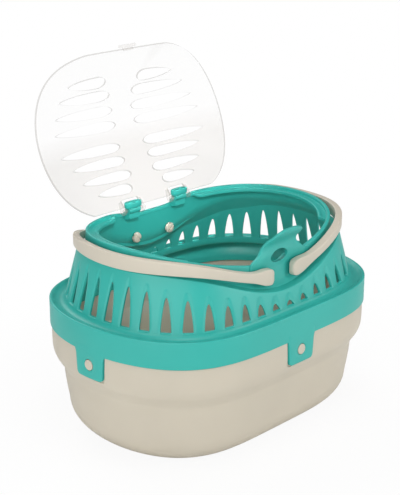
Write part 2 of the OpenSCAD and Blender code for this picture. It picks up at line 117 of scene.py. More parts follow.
class CARRIER_PG_lid(bpy.types.PropertyGroup):
    """The clear lid"""

    thickness: length("Thickness", "Thickness of the lid", 2)
    crown: length("Crown", "Rise of the crown over the line from hinge to latch", 24)
    lean: angle("Lean", "Lean of the open lid", 14)
    tint: colour("Tint", "Tint of the clear plastic", (0.56, 0.51, 0.46))


class CARRIER_PG_handle(bpy.types.PropertyGroup):
    """The half handles"""

    thickness: length("Thickness", "Thickness of the band along the sides", 6.8)
    end_thickness: length("End thickness", "Thickness of the band at the ends", 5.5)
    tint: colour("Colour", "Colour of the handle's plastic", (0.62, 0.57, 0.48))


class CARRIER_PG_studio(bpy.types.PropertyGroup):
    """Floor, light and camera"""

    lamps: number("Lamps", "Strength of all the studio lamps together", 1.0, 0.0, 10.0)
    fill: number("Fill", "Strength of the light from all round", 0.2, 0.0, 10.0)
    floor: colour("Floor", "Colour of the floor", (0.9, 0.9, 0.9))


GROUPS = {"plan": CARRIER_PG_plan, "tub": CARRIER_PG_tub, "shell": CARRIER_PG_shell,
          "lid": CARRIER_PG_lid, "handle": CARRIER_PG_handle, "studio": CARRIER_PG_studio}


def settings(group):
    return getattr(bpy.context.scene, "carrier_" + group)


def mm(value):
    return value / MM


# ---- Shape of the carrier ----------------------------------------------------------------


def smooth(t):
    t = min(1.0, max(0.0, t))
    return t * t * (3 - 2 * t)


def mix(a, b, t):
    return a + (b - a) * t


# Heights over and under the slotted wall's foot, all in millimetres
SKIRT_FOOT, SKIRT_TOP = 26, 2            # the skirt's foot and top, both below it
GROOVE_UP, GROOVE_RISE = 14.8, 30.7      # the handles' groove: its middle, and its rise to the ends
RIM_LATCH_UP = 25.7                      # the rim over the groove, at the latch
RIM_END_UP, RIM_BACK_DIP = 16, 3.5       # the rim over the groove at the ends, and its dip at the back
RIM_HINGE_DIP = 6                        # a further dip in the middle of the back

# The band between groove and rim, and what stands on it
BAND_INSET, BAND_UP, BAND_LEAN = 28.4, 25, 0.06
HANDLE_GAP = 1.1                         # between the band and the handles
LIP, SEAT_W, SEAT_D = 3.1, 6.8, 2.5      # the rim's lip, and the lid's seat behind it

SLOT_UNDER_GROOVE = 10.5                 # from a slot's tip to the groove, at the middle
PLAN_STEPS = 5760                        # points of the plan's outline


class Shape:
    """The carrier's plan and levels, in millimetres"""

    def __init__(self):
        p, s, h = settings("plan"), settings("shell"), settings("handle")
        self.half_l, self.half_w, self.power = mm(p.half_l), mm(p.half_w), p.power
        self.ledge, self.wall_z = mm(p.ledge), mm(p.wall_z)
        self.lean, self.wall = math.tan(p.lean), mm(s.wall)
        self.groove0 = self.wall_z + GROOVE_UP
        self.rim_latch = self.groove0 + RIM_LATCH_UP
        self.rim_end = self.groove0 + GROOVE_RISE + RIM_END_UP
        self.rim_hinge = self.rim_end - RIM_BACK_DIP
        self.skirt_z, self.skirt_top = self.wall_z - SKIRT_FOOT, self.wall_z - SKIRT_TOP
        self.handle_inset = BAND_INSET - HANDLE_GAP - mm(h.thickness)
        # How far the outline reaches in each direction, found by halving
        phi = np.linspace(0, 2 * math.pi, PLAN_STEPS + 1)
        lo, hi = np.full_like(phi, 0.9), np.full_like(phi, 1.6)
        for _ in range(40):
            k = (lo + hi) / 2
            out = np.abs(k * np.cos(phi)) ** self.power + (k * np.sin(phi)) ** 2 > 1
            hi, lo = np.where(out, k, hi), np.where(out, lo, k)
        k = (lo + hi) / 2
        self.ux, self.uy = k * np.cos(phi), k * np.sin(phi)
        x, y = (self.half_l - self.ledge) * self.ux, (self.half_w - self.ledge) * self.uy
        run = np.concatenate([[0], np.cumsum(np.hypot(np.diff(x), np.diff(y)))])
        self.ring, self.run = run[-1], run / run[-1]

    def unit(self, t):
        """The outline's point at a share of the way round, for half sizes of 1"""
        t = t % 1.0
        return float(np.interp(t, self.run, self.ux)), float(np.interp(t, self.run, self.uy))

    def at(self, u, s, z):
        """The point at height z that lies s inside the outline"""
        return ((self.half_l - s) * u[0], (self.half_w - s) * u[1], z)

    def wall_inset(self, z):
        return self.ledge + self.lean * (z - self.wall_z)

    def band_inset(self, z):
        return BAND_INSET + BAND_LEAN * (z - self.wall_z - BAND_UP)

    def groove(self, v):
        return self.groove0 + GROOVE_RISE * (1 - math.cos(math.pi * min(1, abs(v) * 1.02))) / 2

    def rim_front(self, v):
        beside = max(0, (abs(v) - 0.283) / 0.717)
        return self.rim_latch + (self.rim_end - self.rim_latch) * beside ** 1.05

    def rim_back(self, v):
        return (self.rim_hinge - RIM_HINGE_DIP + RIM_HINGE_DIP * smooth((abs(v) - 0.1) / 0.4)
                + (self.rim_end - self.rim_hinge) * v ** 4)

    def rim(self, u):
        return self.rim_front(u[0]) if u[1] < 0 else self.rim_back(u[0])

    def seat(self, u):
        """1 where the rim has the lid's seat, 0 where it has none"""
        return smooth((abs(u[0]) - 0.75) / 0.04) if u[1] < 0 else smooth((abs(u[0]) - 0.42) / 0.1)

    def lip_part(self, u):
        """1 where the rim has its full lip, 0 where it has none"""
        return smooth((abs(u[0]) - 0.4) / 0.35) if u[1] < 0 else smooth((abs(u[0]) - 0.42) / 0.1)

    def slot_tip(self, v):
        return (self.groove(v) - SLOT_UNDER_GROOVE - 6.5 * smooth((abs(v) - 0.3) / 0.35)
                + 5 * smooth((abs(v) - 0.85) / 0.15))

    def side_place(self, turn, outer=0.0):
        """A map from (along, up, depth) to x, y, z on the side that faces turn degrees from -Y"""
        c, s = turned(turn)
        long, short = (self.half_l, self.half_w) if turn % 180 == 0 else (self.half_w, self.half_l)

        def place(a, b, d):
            d = d - outer
            share = min(0.999, abs(a) / (long - d))
            if turn % 180 == 0:
                reach = (short - d) * math.sqrt(1 - share ** self.power)
            else:
                reach = (short - d) * (1 - share ** 2) ** (1 / self.power)
            return (c * a + s * reach, s * a - c * reach, b)

        return place


# ---- Mesh helpers ------------------------------------------------------------------------

SHARP = 35              # degrees over which an edge is shaded sharp
SAME_POINT = 0.00001    # metres within which two points become one


def corner(before, point, after, steps):
    """An arc in place of a corner (a, b, radius) between its two neighbours"""
    p = Vector(point[:2])
    d0, d1 = Vector(before[:2]) - p, Vector(after[:2]) - p
    back = min(point[2], 0.48 * d0.length, 0.48 * d1.length)
    start, end = p + d0.normalized() * back, p + d1.normalized() * back
    shares = [j / steps for j in range(steps + 1)]
    return [tuple(start * (1 - t) ** 2 + p * 2 * t * (1 - t) + end * t ** 2) for t in shares]


def rounded(points, steps=4):
    """A polyline through (a, b, radius) corners, each turned with an arc of its radius"""
    out = []
    for i, point in enumerate(points):
        if point[2] <= 0 or i in (0, len(points) - 1):
            out += [tuple(Vector(point[:2]))] * (steps + 1 if point[2] > 0 else 1)
        else:
            out += corner(points[i - 1], point, points[i + 1], steps)
    return out


def closed_rounded(points, steps=4):
    """The same round a closed outline"""
    n = len(points)
    return [p for i in range(n) for p in corner(points[i - 1], points[i], points[(i + 1) % n], steps)]


def turned(degrees):
    """The cosine and sine of an angle in degrees"""
    return math.cos(math.radians(degrees)), math.sin(math.radians(degrees))


def shade(mesh, angle=SHARP):
    """Smooth shading, except over edges sharper than an angle in degrees"""
    for p in mesh.polygons:
        p.use_smooth = True
    mesh.set_sharp_from_angle(angle=math.radians(angle))


def new_piece(name, verts, faces, angle=SHARP):
    """An object from points in millimetres, shaded smooth except over sharp edges"""
    mesh = bpy.data.meshes.new(name)
    mesh.from_pydata([tuple(c * MM for c in v) for v in verts], [], faces)
    bm = bmesh.new()
    bm.from_mesh(mesh)
    bmesh.ops.remove_doubles(bm, verts=bm.verts, dist=SAME_POINT)
    bmesh.ops.dissolve_degenerate(bm, edges=bm.edges, dist=SAME_POINT / 5)
    bmesh.ops.recalc_face_normals(bm, faces=bm.faces)
    if all(e.is_manifold for e in bm.edges) and bm.calc_volume(signed=True) < 0:
        bmesh.ops.reverse_faces(bm, faces=bm.faces)
    bm.to_mesh(mesh)
    bm.free()
    shade(mesh, angle)
    piece = bpy.data.objects.new(name, mesh)
    bpy.context.scene.collection.objects.link(piece)
    return piece


def loft(rings, caps=True, closed=False):
    """Verts and faces of a tube through rings of equal length"""
    n, k = len(rings), len(rings[0])
    verts = [p for ring in rings for p in ring]
    faces = [(i * k + j, i * k + (j + 1) % k, ((i + 1) % n) * k + (j + 1) % k, ((i + 1) % n) * k + j)
             for i in range(n if closed else n - 1) for j in range(k)]
    if caps and not closed:
        faces += [tuple(range(k - 1, -1, -1)), tuple((n - 1) * k + j for j in range(k))]
    return verts, faces


def extruded(outline, low, high, place):
    """A prism of a 2-D outline between two depths; place turns (a, b, depth) into x, y, z"""
    rings = [[place(a, b, d) for a, b in outline] for d in (low, high)]
    return loft(rings)


def disc_stack(levels, place, steps=40):
    """A turned piece: (radius, depth) levels, closed at both ends"""
    rings = [[place(r * math.cos(2 * math.pi * j / steps), r * math.sin(2 * math.pi * j / steps), d)
              for j in range(steps)] for r, d in levels]
    return loft(rings)


def join(name, parts):
    """One object from several (verts, faces) lists"""
    verts, faces = [], []
    for v, f in parts:
        base = len(verts)
        verts += list(v)
        faces += [tuple(base + i for i in q) for q in f]
    return new_piece(name, verts, faces)


def soften(piece, width, segments=2, angle=40):
    """Rounds the piece's sharp edges"""
    m = piece.modifiers.new("Rounded edges", "BEVEL")
    m.width, m.segments, m.limit_method = width * MM, segments, "ANGLE"
    m.angle_limit = math.radians(angle)
    m.harden_normals = True
    apply_modifiers(piece)


def apply_modifiers(piece):
    """Makes the modifiers' result the piece's own mesh"""
    dg = bpy.context.evaluated_depsgraph_get()
    mesh = bpy.data.meshes.new_from_object(piece.evaluated_get(dg))
    piece.modifiers.clear()
    piece.data = mesh


def cut(piece, cutter, folded=False):
    """Cuts one object out of another, which may be folded onto itself"""
    m = piece.modifiers.new("Cut", "BOOLEAN")
    m.operation, m.object, m.solver, m.use_self = "DIFFERENCE", cutter, "EXACT", folded
    apply_modifiers(piece)
    shade(piece.data)
    bpy.data.objects.remove(cutter)


def merge(pieces, name):
    """Joins objects into the first, keeping their sharp edges"""
    bm = bmesh.new()
    for p in pieces:
        bm.from_mesh(p.data)
    mesh = bpy.data.meshes.new(name)
    bm.to_mesh(mesh)
    bm.free()
    for p in pieces[1:]:
        bpy.data.objects.remove(p)
    pieces[0].data, pieces[0].name = mesh, name
    return pieces[0]


def finish_piece(piece, material, body, node):
    """Gives the piece its material and its body, and hides the CAD solid that it stands for"""
    piece.data.materials.clear()
    piece.data.materials.append(material)
    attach(piece, body)
    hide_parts(node)


# ---- Materials ---------------------------------------------------------------------------


def feed(tree, node, inputs):
    """Gives each named input of a node its number or colour, or a link from a socket"""
    for name, value in inputs.items():
        if isinstance(value, bpy.types.NodeSocket):
            tree.links.new(value, node.inputs[name])
        else:
            node.inputs[name].default_value = value


def add_node(tree, kind, inputs=None, **options):
    """A shader node with its options and inputs"""
    node = tree.nodes.new("ShaderNode" + kind)
    for name, value in options.items():
        setattr(node, name, value)
    feed(tree, node, inputs or {})
    return node


def new_material(name):
    """A material whose node tree holds only a shader"""
    m = bpy.data.materials.new(name)
    m.use_nodes = True
    m.node_tree.nodes.clear()
    return m, m.node_tree, add_node(m.node_tree, "BsdfPrincipled")


def object_place(tree):
    """The place of each point in the piece's own frame"""
    return add_node(tree, "TexCoord").outputs["Object"]


def noise(tree, where, inputs):
    """Noise from 0 to 1 at a place"""
    return add_node(tree, "TexNoise", {"Vector": where, **inputs}).outputs["Fac"]


def map_range(tree, value, low, high, start=0.0, end=1.0):
    """Turns a value between start and end into one between low and high"""
    node = add_node(tree, "MapRange", {"Value": value, "From Min": start, "From Max": end,
                                       "To Min": low, "To Max": high})
    return node.outputs["Result"]


def tint_range(tree, share, tints, stops=(0.0, 1.0)):
    """Turns a share from 0 to 1 into a colour between two"""
    ramp = add_node(tree, "ValToRGB", {"Fac": share})
    for element, tint, stop in zip(ramp.color_ramp.elements, tints, stops):
        element.position, element.color = stop, (*tint, 1)
    return ramp.outputs["Color"]


def bump(tree, height, strength, distance):
    """Fine relief in a surface"""
    node = add_node(tree, "Bump", {"Height": height, "Strength": strength, "Distance": distance})
    return node.outputs["Normal"]


def moulded_plastic(name, tint, spread, roughness, grain, soft=0.0):
    """Injection-moulded plastic: faint flow marks in its colour, a fine grain, an uneven gloss"""
    m, tree, shader = new_material(name)
    where = object_place(tree)
    flow = noise(tree, where, {"Scale": 14.0, "Detail": 3.0, "Distortion": 0.6})
    darker, lighter = [max(0, c * (1 - spread)) for c in tint], [min(1, c * (1 + spread)) for c in tint]
    pores = noise(tree, where, {"Scale": grain, "Detail": 4.0})
    feed(tree, shader, {
        "Base Color": tint_range(tree, flow, (darker, lighter), (0.3, 0.7)),
        "Roughness": map_range(tree, pores, roughness - 0.06, roughness + 0.08),
        "Normal": bump(tree, pores, 0.08, 0.0002),
        "IOR": 1.49,
    })
    if soft:
        feed(tree, shader, {"Subsurface Weight": soft, "Subsurface Scale": 1.0,
                            "Subsurface Radius": (0.004, 0.004, 0.003)})
    add_node(tree, "OutputMaterial", {"Surface": shader.outputs["BSDF"]})
    return m


def clear_plastic(name, tint, cloud=0.014, haze_and_painted_shade_low=0.14):
    """Clear moulded plastic with a faint wave, cloudy at grazing angles, with painted shade that makes
    it greyer towards the hinge
    """
    m, tree, shader = new_material(name)
    where = object_place(tree)
    wave = noise(tree, where, {"Scale": 26.0, "Detail": 1.0})
    height = add_node(tree, "SeparateXYZ", {"Vector": where}).outputs["Z"]
    facing = add_node(tree, "LayerWeight", {"Blend": 0.35}).outputs["Facing"]
    # Painted shade: below a height the sheet is more opaque and greyer, standing in for the grey look
    # that the light gives the lower lid
    haze_and_painted_shade = map_range(tree, height, haze_and_painted_shade_low, cloud, 0.232, 0.256)
    feed(tree, shader, {
        "Base Color": tint_range(tree, wave, ([c * 0.985 for c in tint], tint)),
        "Alpha": map_range(tree, facing, haze_and_painted_shade, 0.3, 0.3, 0.9),
        "Normal": bump(tree, wave, 0.05, 0.0004),
        "Roughness": 0.12,
        "IOR": 1.46,
    })
    add_node(tree, "OutputMaterial", {"Surface": shader.outputs["BSDF"]})
    return m


# ---- Tub ---------------------------------------------------------------------------------


# The tub's rim lies inside the skirt, and its wall steps in below the flared lip and at the foot
RIM_INSET, LIP_STEP, LIP_DROP, FOOT_STEP = 1.2, 8.8, 37.0, 3.7
TUB_GAP = 0.3                            # between the tub's rim and the skirt over it
TUB_STEPS = 384                          # points round the plan
SIDES = (0, 90, 180, 270)                # where the tabs and studs are, in degrees
TAB_W, TAB_DROP, TAB_T = 34.0, 23.0, 2.6     # a locking tab: width, drop below the skirt, thickness
TAB_GAP = 1.5                            # round a tab in its recess
TAB_ROOT = 9                             # how far a tab's outline runs up behind the skirt
STUD_Z, STUD_DEEP, STUD_OUT = 88.0, 4.2, 0.5     # a stud: height, reach into the side and out of it
RECESS_DEPTH = TAB_T + 0.5
PAD_T = 2.6                              # a recess's back wall
NOTCH_DROP = 3.4                         # the notch over a recess starts this far below the skirt


def tub_outline(g):
    """Outside then inside of the tub's section, as (inset, height)"""
    t = settings("tub")
    r, w, e, step, top = mm(t.foot_radius), mm(t.wall), RIM_INSET, LIP_STEP, g.skirt_z - TUB_GAP
    low, foot = g.skirt_z - LIP_DROP, RIM_INSET + LIP_STEP + FOOT_STEP
    arc = [(foot + r * (1 - math.cos(a)), r * (1 - math.sin(a)))
           for a in np.linspace(math.pi / 2, 0.1, 13)]

    def side(t, d=0.0):
        return (foot - FOOT_STEP + FOOT_STEP * (1 - t) ** 1.6 + d, r + t * (low - 1 - r))

    wall = [side(t) for t in (0, 0.2, 0.4, 0.6, 0.75, 0.85)]
    wall += rounded([(*side(0.88), 0), (e + step * 0.99, low - 2.4, 4.5),
                     (e + step * 0.66, low + 3.2, 4), (e + step * 0.27, low + 8.2, 4),
                     (e + step * 0.05, low + 14, 5), (e - 0.05, low + 22, 4), (e, top - 0.2, 0.5),
                     (e + w / 2, top, 0.3), (e + w, top, 0.3), (e + w, top - 3, 0)], 4)
    inner = rounded([(e + w, top - 4, 0), (e + w, low + 14, 8), (e + w + step * 0.8, low + 1, 4),
                     (*side(0.4, w), 6), (foot + w, r + w, 0)], 5)
    turn = r - w
    inside = [(foot + w + turn * (1 - math.cos(a)), w + turn * (1 - math.sin(a)))
              for a in np.linspace(0.06, math.pi / 2, 14)]
    return arc + wall + inner + inside


def tab_corners(g, grow):
    """Corners of a tab's outline, or of its recess with grow, as (along, up, radius)"""
    w, foot = TAB_W / 2 + grow, g.skirt_z - TAB_DROP - grow
    head = g.skirt_z + TAB_ROOT
    return [(-w, head, 0), (-w + 1.5, foot, 4), (w - 1.5, foot, 4), (w, head, 0)]


def side_block(g, outline, low, high, turn):
    """A plate that follows a side's plan, from one inset to another; its outline is cut in steps"""
    place = g.side_place(turn)
    steps = 16
    a0, a1 = min(p[0] for p in outline), max(p[0] for p in outline)
    top = max(p[1] for p in outline)
    lower = sorted({p for p in outline
                    if p[1] < top - 0.01 or abs(abs(p[0]) - max(abs(a0), a1)) < 0.01})
    along = sorted({a0, a1, *(p[0] for p in outline if p[1] < top - 0.01),
                    *np.linspace(a0, a1, steps)})
    rings = []
    for a in along:
        foot = float(np.interp(a, [p[0] for p in lower], [p[1] for p in lower]))
        z0 = foot if a0 < a < a1 else top - 0.05
        rings.append([place(a, z, d) for z, d in ((z0, low), (top, low), (top, high), (z0, high))])
    return loft(rings)


def tub_wall(g):
    """The wall and floor: the section taken round the plan, closed at the middle"""
    outline = tub_outline(g)
    n, k = TUB_STEPS, len(outline)
    verts = [g.at(g.unit(i / n), s, z) for i in range(n) for s, z in outline]
    faces = [(i * k + j, (i + 1) % n * k + j, (i + 1) % n * k + j + 1, i * k + j + 1)
             for i in range(n) for j in range(k - 1)]
    for j in (0, k - 1):
        centre = len(verts)
        verts.append((0, 0, outline[j][1]))
        faces += [(centre, i * k + j, (i + 1) % n * k + j) for i in range(n)]
    return verts, faces


def cut_recesses(g, piece, shut):
    """Cuts a recess for each tab, and opens the rim above it"""
    half, head = TAB_W / 2 + 1, g.skirt_z + TAB_ROOT
    notch = [(-half, shut), (-half, head), (half, head), (half, shut)]
    for turn in SIDES:
        recess = rounded(tab_corners(g, TAB_GAP), 6)
        cut(piece, new_piece("recess", *side_block(g, recess, -2, RECESS_DEPTH, turn)))
        cut(piece, new_piece("notch", *extruded(notch, -2, 8, g.side_place(turn))))


def recess_pads(g, shut):
    """The wall behind each recess"""
    pad = [(a, min(b, shut)) for a, b in rounded(tab_corners(g, TAB_GAP + 3), 6)]
    start = RECESS_DEPTH + 0.2
    return [side_block(g, pad, start, start + PAD_T, turn) for turn in SIDES]


def studs(g):
    """The round studs that the tabs snap over"""
    r = mm(settings("tub").stud_d) / 2
    levels = [(r, -STUD_DEEP), (r, 0), (r - 0.25, 0.3), (r - 0.7, 0.46), (r * 0.5, STUD_OUT),
              (0.05, STUD_OUT)]
    parts = []
    for turn, reach in zip(SIDES, (g.half_l, g.half_w, g.half_l, g.half_w)):
        c, s = turned(turn)
        parts.append(disc_stack(levels, lambda a, b, d: (c * (reach + d) - s * a,
                                                         s * (reach + d) + c * a, STUD_Z + b)))
    return parts


class CARRIER_OT_tub(bpy.types.Operator):
    """Makes the tub with its flared lip and its studs"""

    bl_idname = "carrier.tub"
    bl_label = "Tub"

    def execute(self, context):
        g = Shape()
        shut = g.skirt_z - NOTCH_DROP
        wall = new_piece("tub", *tub_wall(g))
        cut_recesses(g, wall, shut)
        piece = merge([wall, join("studs", recess_pads(g, shut) + studs(g))], "tub")
        plastic = moulded_plastic("Tub plastic", settings("tub").tint, spread=0.02, roughness=0.42,
                                  grain=900, soft=0.08)
        finish_piece(piece, plastic, "carrier", "base_tub")
        return {"FINISHED"}


# ---- Upper shell -------------------------------------------------------------------------

# Columns of one slot's share of the wall: plain wall, scoop, sill, scoop, plain wall
PLAIN, SCOOP, SILL = 4, 4, 4
ACROSS = 2 * (PLAIN + SCOOP) + SILL
# Shares of a slot's height, and of the scoop above its tip, that have a row of points
SLOT_ROWS = [0, 0.03, 0.08, 0.16, 0.26, 0.37, 0.48, 0.58,
             0.67, 0.75, 0.82, 0.88, 0.93, 0.965, 0.988, 1]
TIP_ROWS = [0.14, 0.3, 0.5, 0.7, 0.85, 1.0]
EDGE = 0.4                               # rounding of a slot's edge
SCOOP_W, SCOOP_H = 2.2, 7.5              # the scoop beside a slot, and above its tip
SPIGOT_OUT, SPIGOT_IN = 4.0, 6.4         # the ring that reaches down inside the tub's rim


def arch(t):
    """Width of a pointed slot at a share of its height"""
    t = min(1.0, max(0.0, t))
    return (1 - t ** 1.3) ** 0.55


class Slots:
    """The slots round the wall, with the scoop that each one sits in"""

    def __init__(self, g):
        s = settings("shell")
        self.g, self.count = g, s.slots
        self.half, self.flare = mm(s.slot_w) / 2, mm(s.flare)
        self.cell = g.ring / self.count

    def open_half(self, t):
        """Half the slot's width at a share of its height"""
        foot = min(1.0, t / 0.02)
        return self.half * arch(t) * (0.9 + 0.1 * foot)

    def scoop_half(self, t):
        """Half the scoop's width at a share of its height"""
        return (self.half + SCOOP_W) * arch(t)

    def scoop_depth(self, off, z, v):
        """The scoop's depth at a share across the cell, a height and a share along the carrier"""
        rise = (z - self.g.wall_z) / (self.g.slot_tip(v) + SCOOP_H - self.g.wall_z)
        reach = self.scoop_half(rise) / self.cell
        if reach <= 0 or abs(off) >= reach:
            return 0.0
        across = 1 - (abs(off) / reach) ** 2
        foot = smooth((z - self.g.wall_z + 1) / 4)
        return self.flare * foot * across ** 0.8 * (1 - 0.6 * smooth((rise - 0.5) / 0.5))

    def columns(self, half, wide):
        """Places of a cell's columns, from -0.5 to 0.5, for a slot's half width and its scoop's"""
        a, b = wide / self.cell, half / self.cell
        left = [mix(-0.5, -a, i / PLAIN) for i in range(PLAIN)]
        left += [mix(-a, -b, i / SCOOP) for i in range(SCOOP)]
        sill = [mix(-b, b, i / SILL) for i in range(SILL)]
        right = [mix(b, a, i / SCOOP) for i in range(SCOOP)]
        right += [mix(a, 0.5, i / PLAIN) for i in range(PLAIN)]
        return left + sill + right


def shell_skirt(g):
    """From the spigot inside the tub's rim, round the skirt, to the wall's foot"""
    z, top = g.skirt_z, g.skirt_top
    return rounded([(SPIGOT_IN, z + 2, 0), (SPIGOT_IN, z - 3, 0.5), (SPIGOT_OUT, z - 3, 0.5),
                    (SPIGOT_OUT, z, 0.2), (0, z, 0.7), (0, z + 12, 0.1), (0, top, 1.2), (2.2, top, 0.9),
                    (4.6, top - 2.4, 1.8), (9.2, top - 3.2, 3), (12.3, top - 1, 1.6),
                    (g.ledge, g.wall_z - 0.6, 0)], 4)


def shell_rim(g, u):
    """From above a slot, over the groove, the band, the lip and the lid's seat, and down inside"""
    v, w = u[0], g.wall
    low, r = g.groove(v), g.rim(u)
    part, seat = g.lip_part(u), g.seat(u)
    lip = w + (LIP - w) * part
    top, base = g.band_inset(r), g.band_inset(low + 1)
    drop = r - SEAT_D * part
    start_s, run = top + lip + 0.2, 0.3 + (SEAT_W - 0.3) * seat
    ridge = drop - 0.6 + seat
    tip = g.slot_tip(v)
    start = min(tip + SCOOP_H + 0.4, low - 1.6)
    swell = 1 + 6 * (1 - v * v)
    return rounded([(g.wall_inset(start), start, 0), (g.wall_inset(low), low, 0.8),
                    (base, low + 1, 1.4), (top, r - 2.2, 0), (top, r, 1.3), (top + lip, r, 0.9),
                    (start_s, drop - 0.6, 0.5), (start_s + run * 0.55, drop - 0.6, 0.6),
                    (start_s + run * 0.68, ridge, 0.6), (start_s + run, ridge, 0.9),
                    (start_s + run + 0.1, drop - 3, 0.8), (top + w + 0.2, drop - 4, 2),
                    (base + w, low + swell, 5 + swell), (g.wall_inset(start) + w, start - 1.6, 0)], 6)


def shell_under(g):
    """From the wall's inside, down to the underside that rests on the tub"""
    z = g.wall_z - 7.3
    return rounded([(g.ledge + g.wall, g.wall_z - 1.2, 0), (g.ledge + 1.5, z, 0.8), (g.wall, z, 0.8),
                    (g.wall, g.skirt_z + 10, 3), (SPIGOT_IN, g.skirt_z + 3.5, 0)], 3)


def shell_body(g):
    """The shell's ring as one grid: rows follow the section, columns follow the slots"""
    slots = Slots(g)
    grid, kinds, holes = [], [], {}
    last = len(SLOT_ROWS) - 1
    # The scoops' columns spread as they would at a slot of middling height
    tip = g.slot_tip(0.6)
    height = tip + SCOOP_H - g.wall_z

    def row(columns, point, kind="solid"):
        """A row of points round the whole ring"""
        grid.append([point(g.unit((c + 0.5 + off) / slots.count), off)
                     for c in range(slots.count) for off in columns])
        kinds.append(kind)

    def wall_row(columns, level, depth, kind="solid"):
        """A row on the wall, whose height follows the place along the carrier"""
        def point(u, off):
            z = level(u[0])
            return g.at(u, g.wall_inset(z) + depth(off, z, u[0]), z)

        row(columns, point, kind)

    def slot_row(side, k, depth):
        """A row through the slots, a little wider than they are, outside or inside the wall"""
        t, lift = SLOT_ROWS[k], {0: -EDGE, last: EDGE}.get(k, 0)
        half = slots.open_half(t) + (0 if k == last else EDGE)
        wide = max(slots.scoop_half(t * (tip - g.wall_z) / height), half + 0.3)
        wall_row(slots.columns(half, wide),
                 lambda v: g.wall_z + t * (g.slot_tip(v) - g.wall_z) + lift, depth, "slot")
        holes[side, k] = len(grid) - 1

    base = slots.columns(slots.open_half(0) + EDGE, slots.half + SCOOP_W)
    narrow = slots.columns(0, 0)
    for a, z in shell_skirt(g):
        row(base, lambda u, off: g.at(u, a, z))
    for k in range(last + 1):
        slot_row("out", k, slots.scoop_depth)
    for t in TIP_ROWS:
        wide = slots.scoop_half((tip + t * SCOOP_H - g.wall_z) / height)
        wall_row(slots.columns(0, wide), lambda v: g.slot_tip(v) + t * SCOOP_H, slots.scoop_depth)
    rim_rows(g, row, narrow)
    for t in reversed(TIP_ROWS[:-1]):
        row(narrow, lambda u, off: g.at(u, g.wall_inset(g.slot_tip(u[0]) + t * SCOOP_H) + g.wall,
                                        g.slot_tip(u[0]) + t * SCOOP_H - 0.7))
    for k in range(last, -1, -1):
        slot_row("in", k, lambda *_: g.wall)
    for a, z in shell_under(g):
        row(base, lambda u, off: g.at(u, a, z))
    return stitch(g, slots, grid, kinds, holes)


def rim_rows(g, row, columns):
    """Adds the rows of the rim to the grid, with each place's section worked out once"""
    sections = {}

    def point(u, j):
        key = (round(u[0], 7), u[1] > 0)
        if key not in sections:
            sections[key] = shell_rim(g, u)
        a, z = sections[key][j]
        return g.at(u, a, z)

    for j in range(len(shell_rim(g, g.unit(0)))):
        row(columns, lambda u, off: point(u, j))


def stitch(g, slots, grid, kinds, holes):
    """Faces between the grid's rows, left open at the slots, and the walls inside each slot"""
    wide = ACROSS * slots.count
    verts = [p for line in grid for p in line]
    faces = []
    first, last = PLAIN + SCOOP, PLAIN + SCOOP + SILL
    for i in range(len(grid)):
        after = (i + 1) % len(grid)
        slot_band = kinds[i] == kinds[after] == "slot"
        a, b = i * wide, after * wide
        for c in range(wide):
            if slot_band and first <= c % ACROSS < last:
                continue
            d = (c + 1) % wide
            faces.append((a + c, b + c, b + d, a + d))
    top = len(SLOT_ROWS) - 1
    # Round a slot: up its left edge, down its right edge, back along the sill
    loop = [(k, first) for k in range(top + 1)] + [(k, last) for k in range(top - 1, -1, -1)]
    loop += [(0, j) for j in range(last - 1, first, -1)]
    for c in range(slots.count):
        rings = [[], [], [], []]
        for k, j in loop:
            t = SLOT_ROWS[k]
            half = slots.open_half(t) / slots.cell
            off = mix(-half, half, (j - first) / SILL)
            u = g.unit((c + 0.5 + off) / slots.count)
            z = g.wall_z + t * (g.slot_tip(u[0]) - g.wall_z)
            dent = slots.scoop_depth(off * 1.02, z, u[0])
            rings[0].append(holes["out", k] * wide + c * ACROSS + j)
            for ring, depth in ((rings[1], dent + EDGE), (rings[2], g.wall - EDGE)):
                ring.append(len(verts))
                verts.append(g.at(u, g.wall_inset(z) + depth, z))
            rings[3].append(holes["in", k] * wide + c * ACROSS + j)
        for one, two in zip(rings, rings[1:]):
            for i in range(len(loop)):
                j = (i + 1) % len(loop)
                faces.append((one[i], one[j], two[j], two[i]))
    return verts, faces


TONGUE_T = 2.6                           # the tongue's thickness
LATCH_HOLE = (11, 6)                     # half width and half height of the hole in it
LATCH_UP = 2                             # the lid's latch tab over the rim at the latch


def tongue_rows(g):
    """Half width, reach beyond the band and height of the latch tongue, from its root up"""
    z = g.rim_latch
    return [(37, -2.6, z - 10), (36.3, -1.7, z - 3), (34.6, -0.9, z + 1.5), (30.4, -0.5, z + 4.4),
            (26.8, -0.6, z + 7), (24.2, -0.8, z + 9.8), (22.4, -0.3, z + 12.4), (21.2, 0.9, z + 14.7),
            (20.2, 2.8, z + 16.9), (19.3, 5.1, z + 19), (18.4, 7.4, z + 21), (17.7, 9.3, z + 22.9),
            (16.8, 10.9, z + 24.8), (14.6, 12, z + 26.6), (11, 12.5, z + 28.1),
            (6.5, 12.7, z + 29.2), (3, 12.7, z + 29.7)]


def spline(rows, count):
    """Even points on a smooth curve through rows"""
    pts = [np.array(r, float) for r in rows]
    out = []
    for i in range(len(pts) - 1):
        p0, p1, p2 = pts[max(i - 1, 0)], pts[i], pts[i + 1]
        p3 = pts[min(i + 2, len(pts) - 1)]
        for j in range(count):
            t = j / count
            out.append(0.5 * ((2 * p1) + (p2 - p0) * t + (2 * p0 - 5 * p1 + 4 * p2 - p3) * t ** 2
                              + (3 * p1 - p0 - 3 * p2 + p3) * t ** 3))
    return out + [pts[-1]]


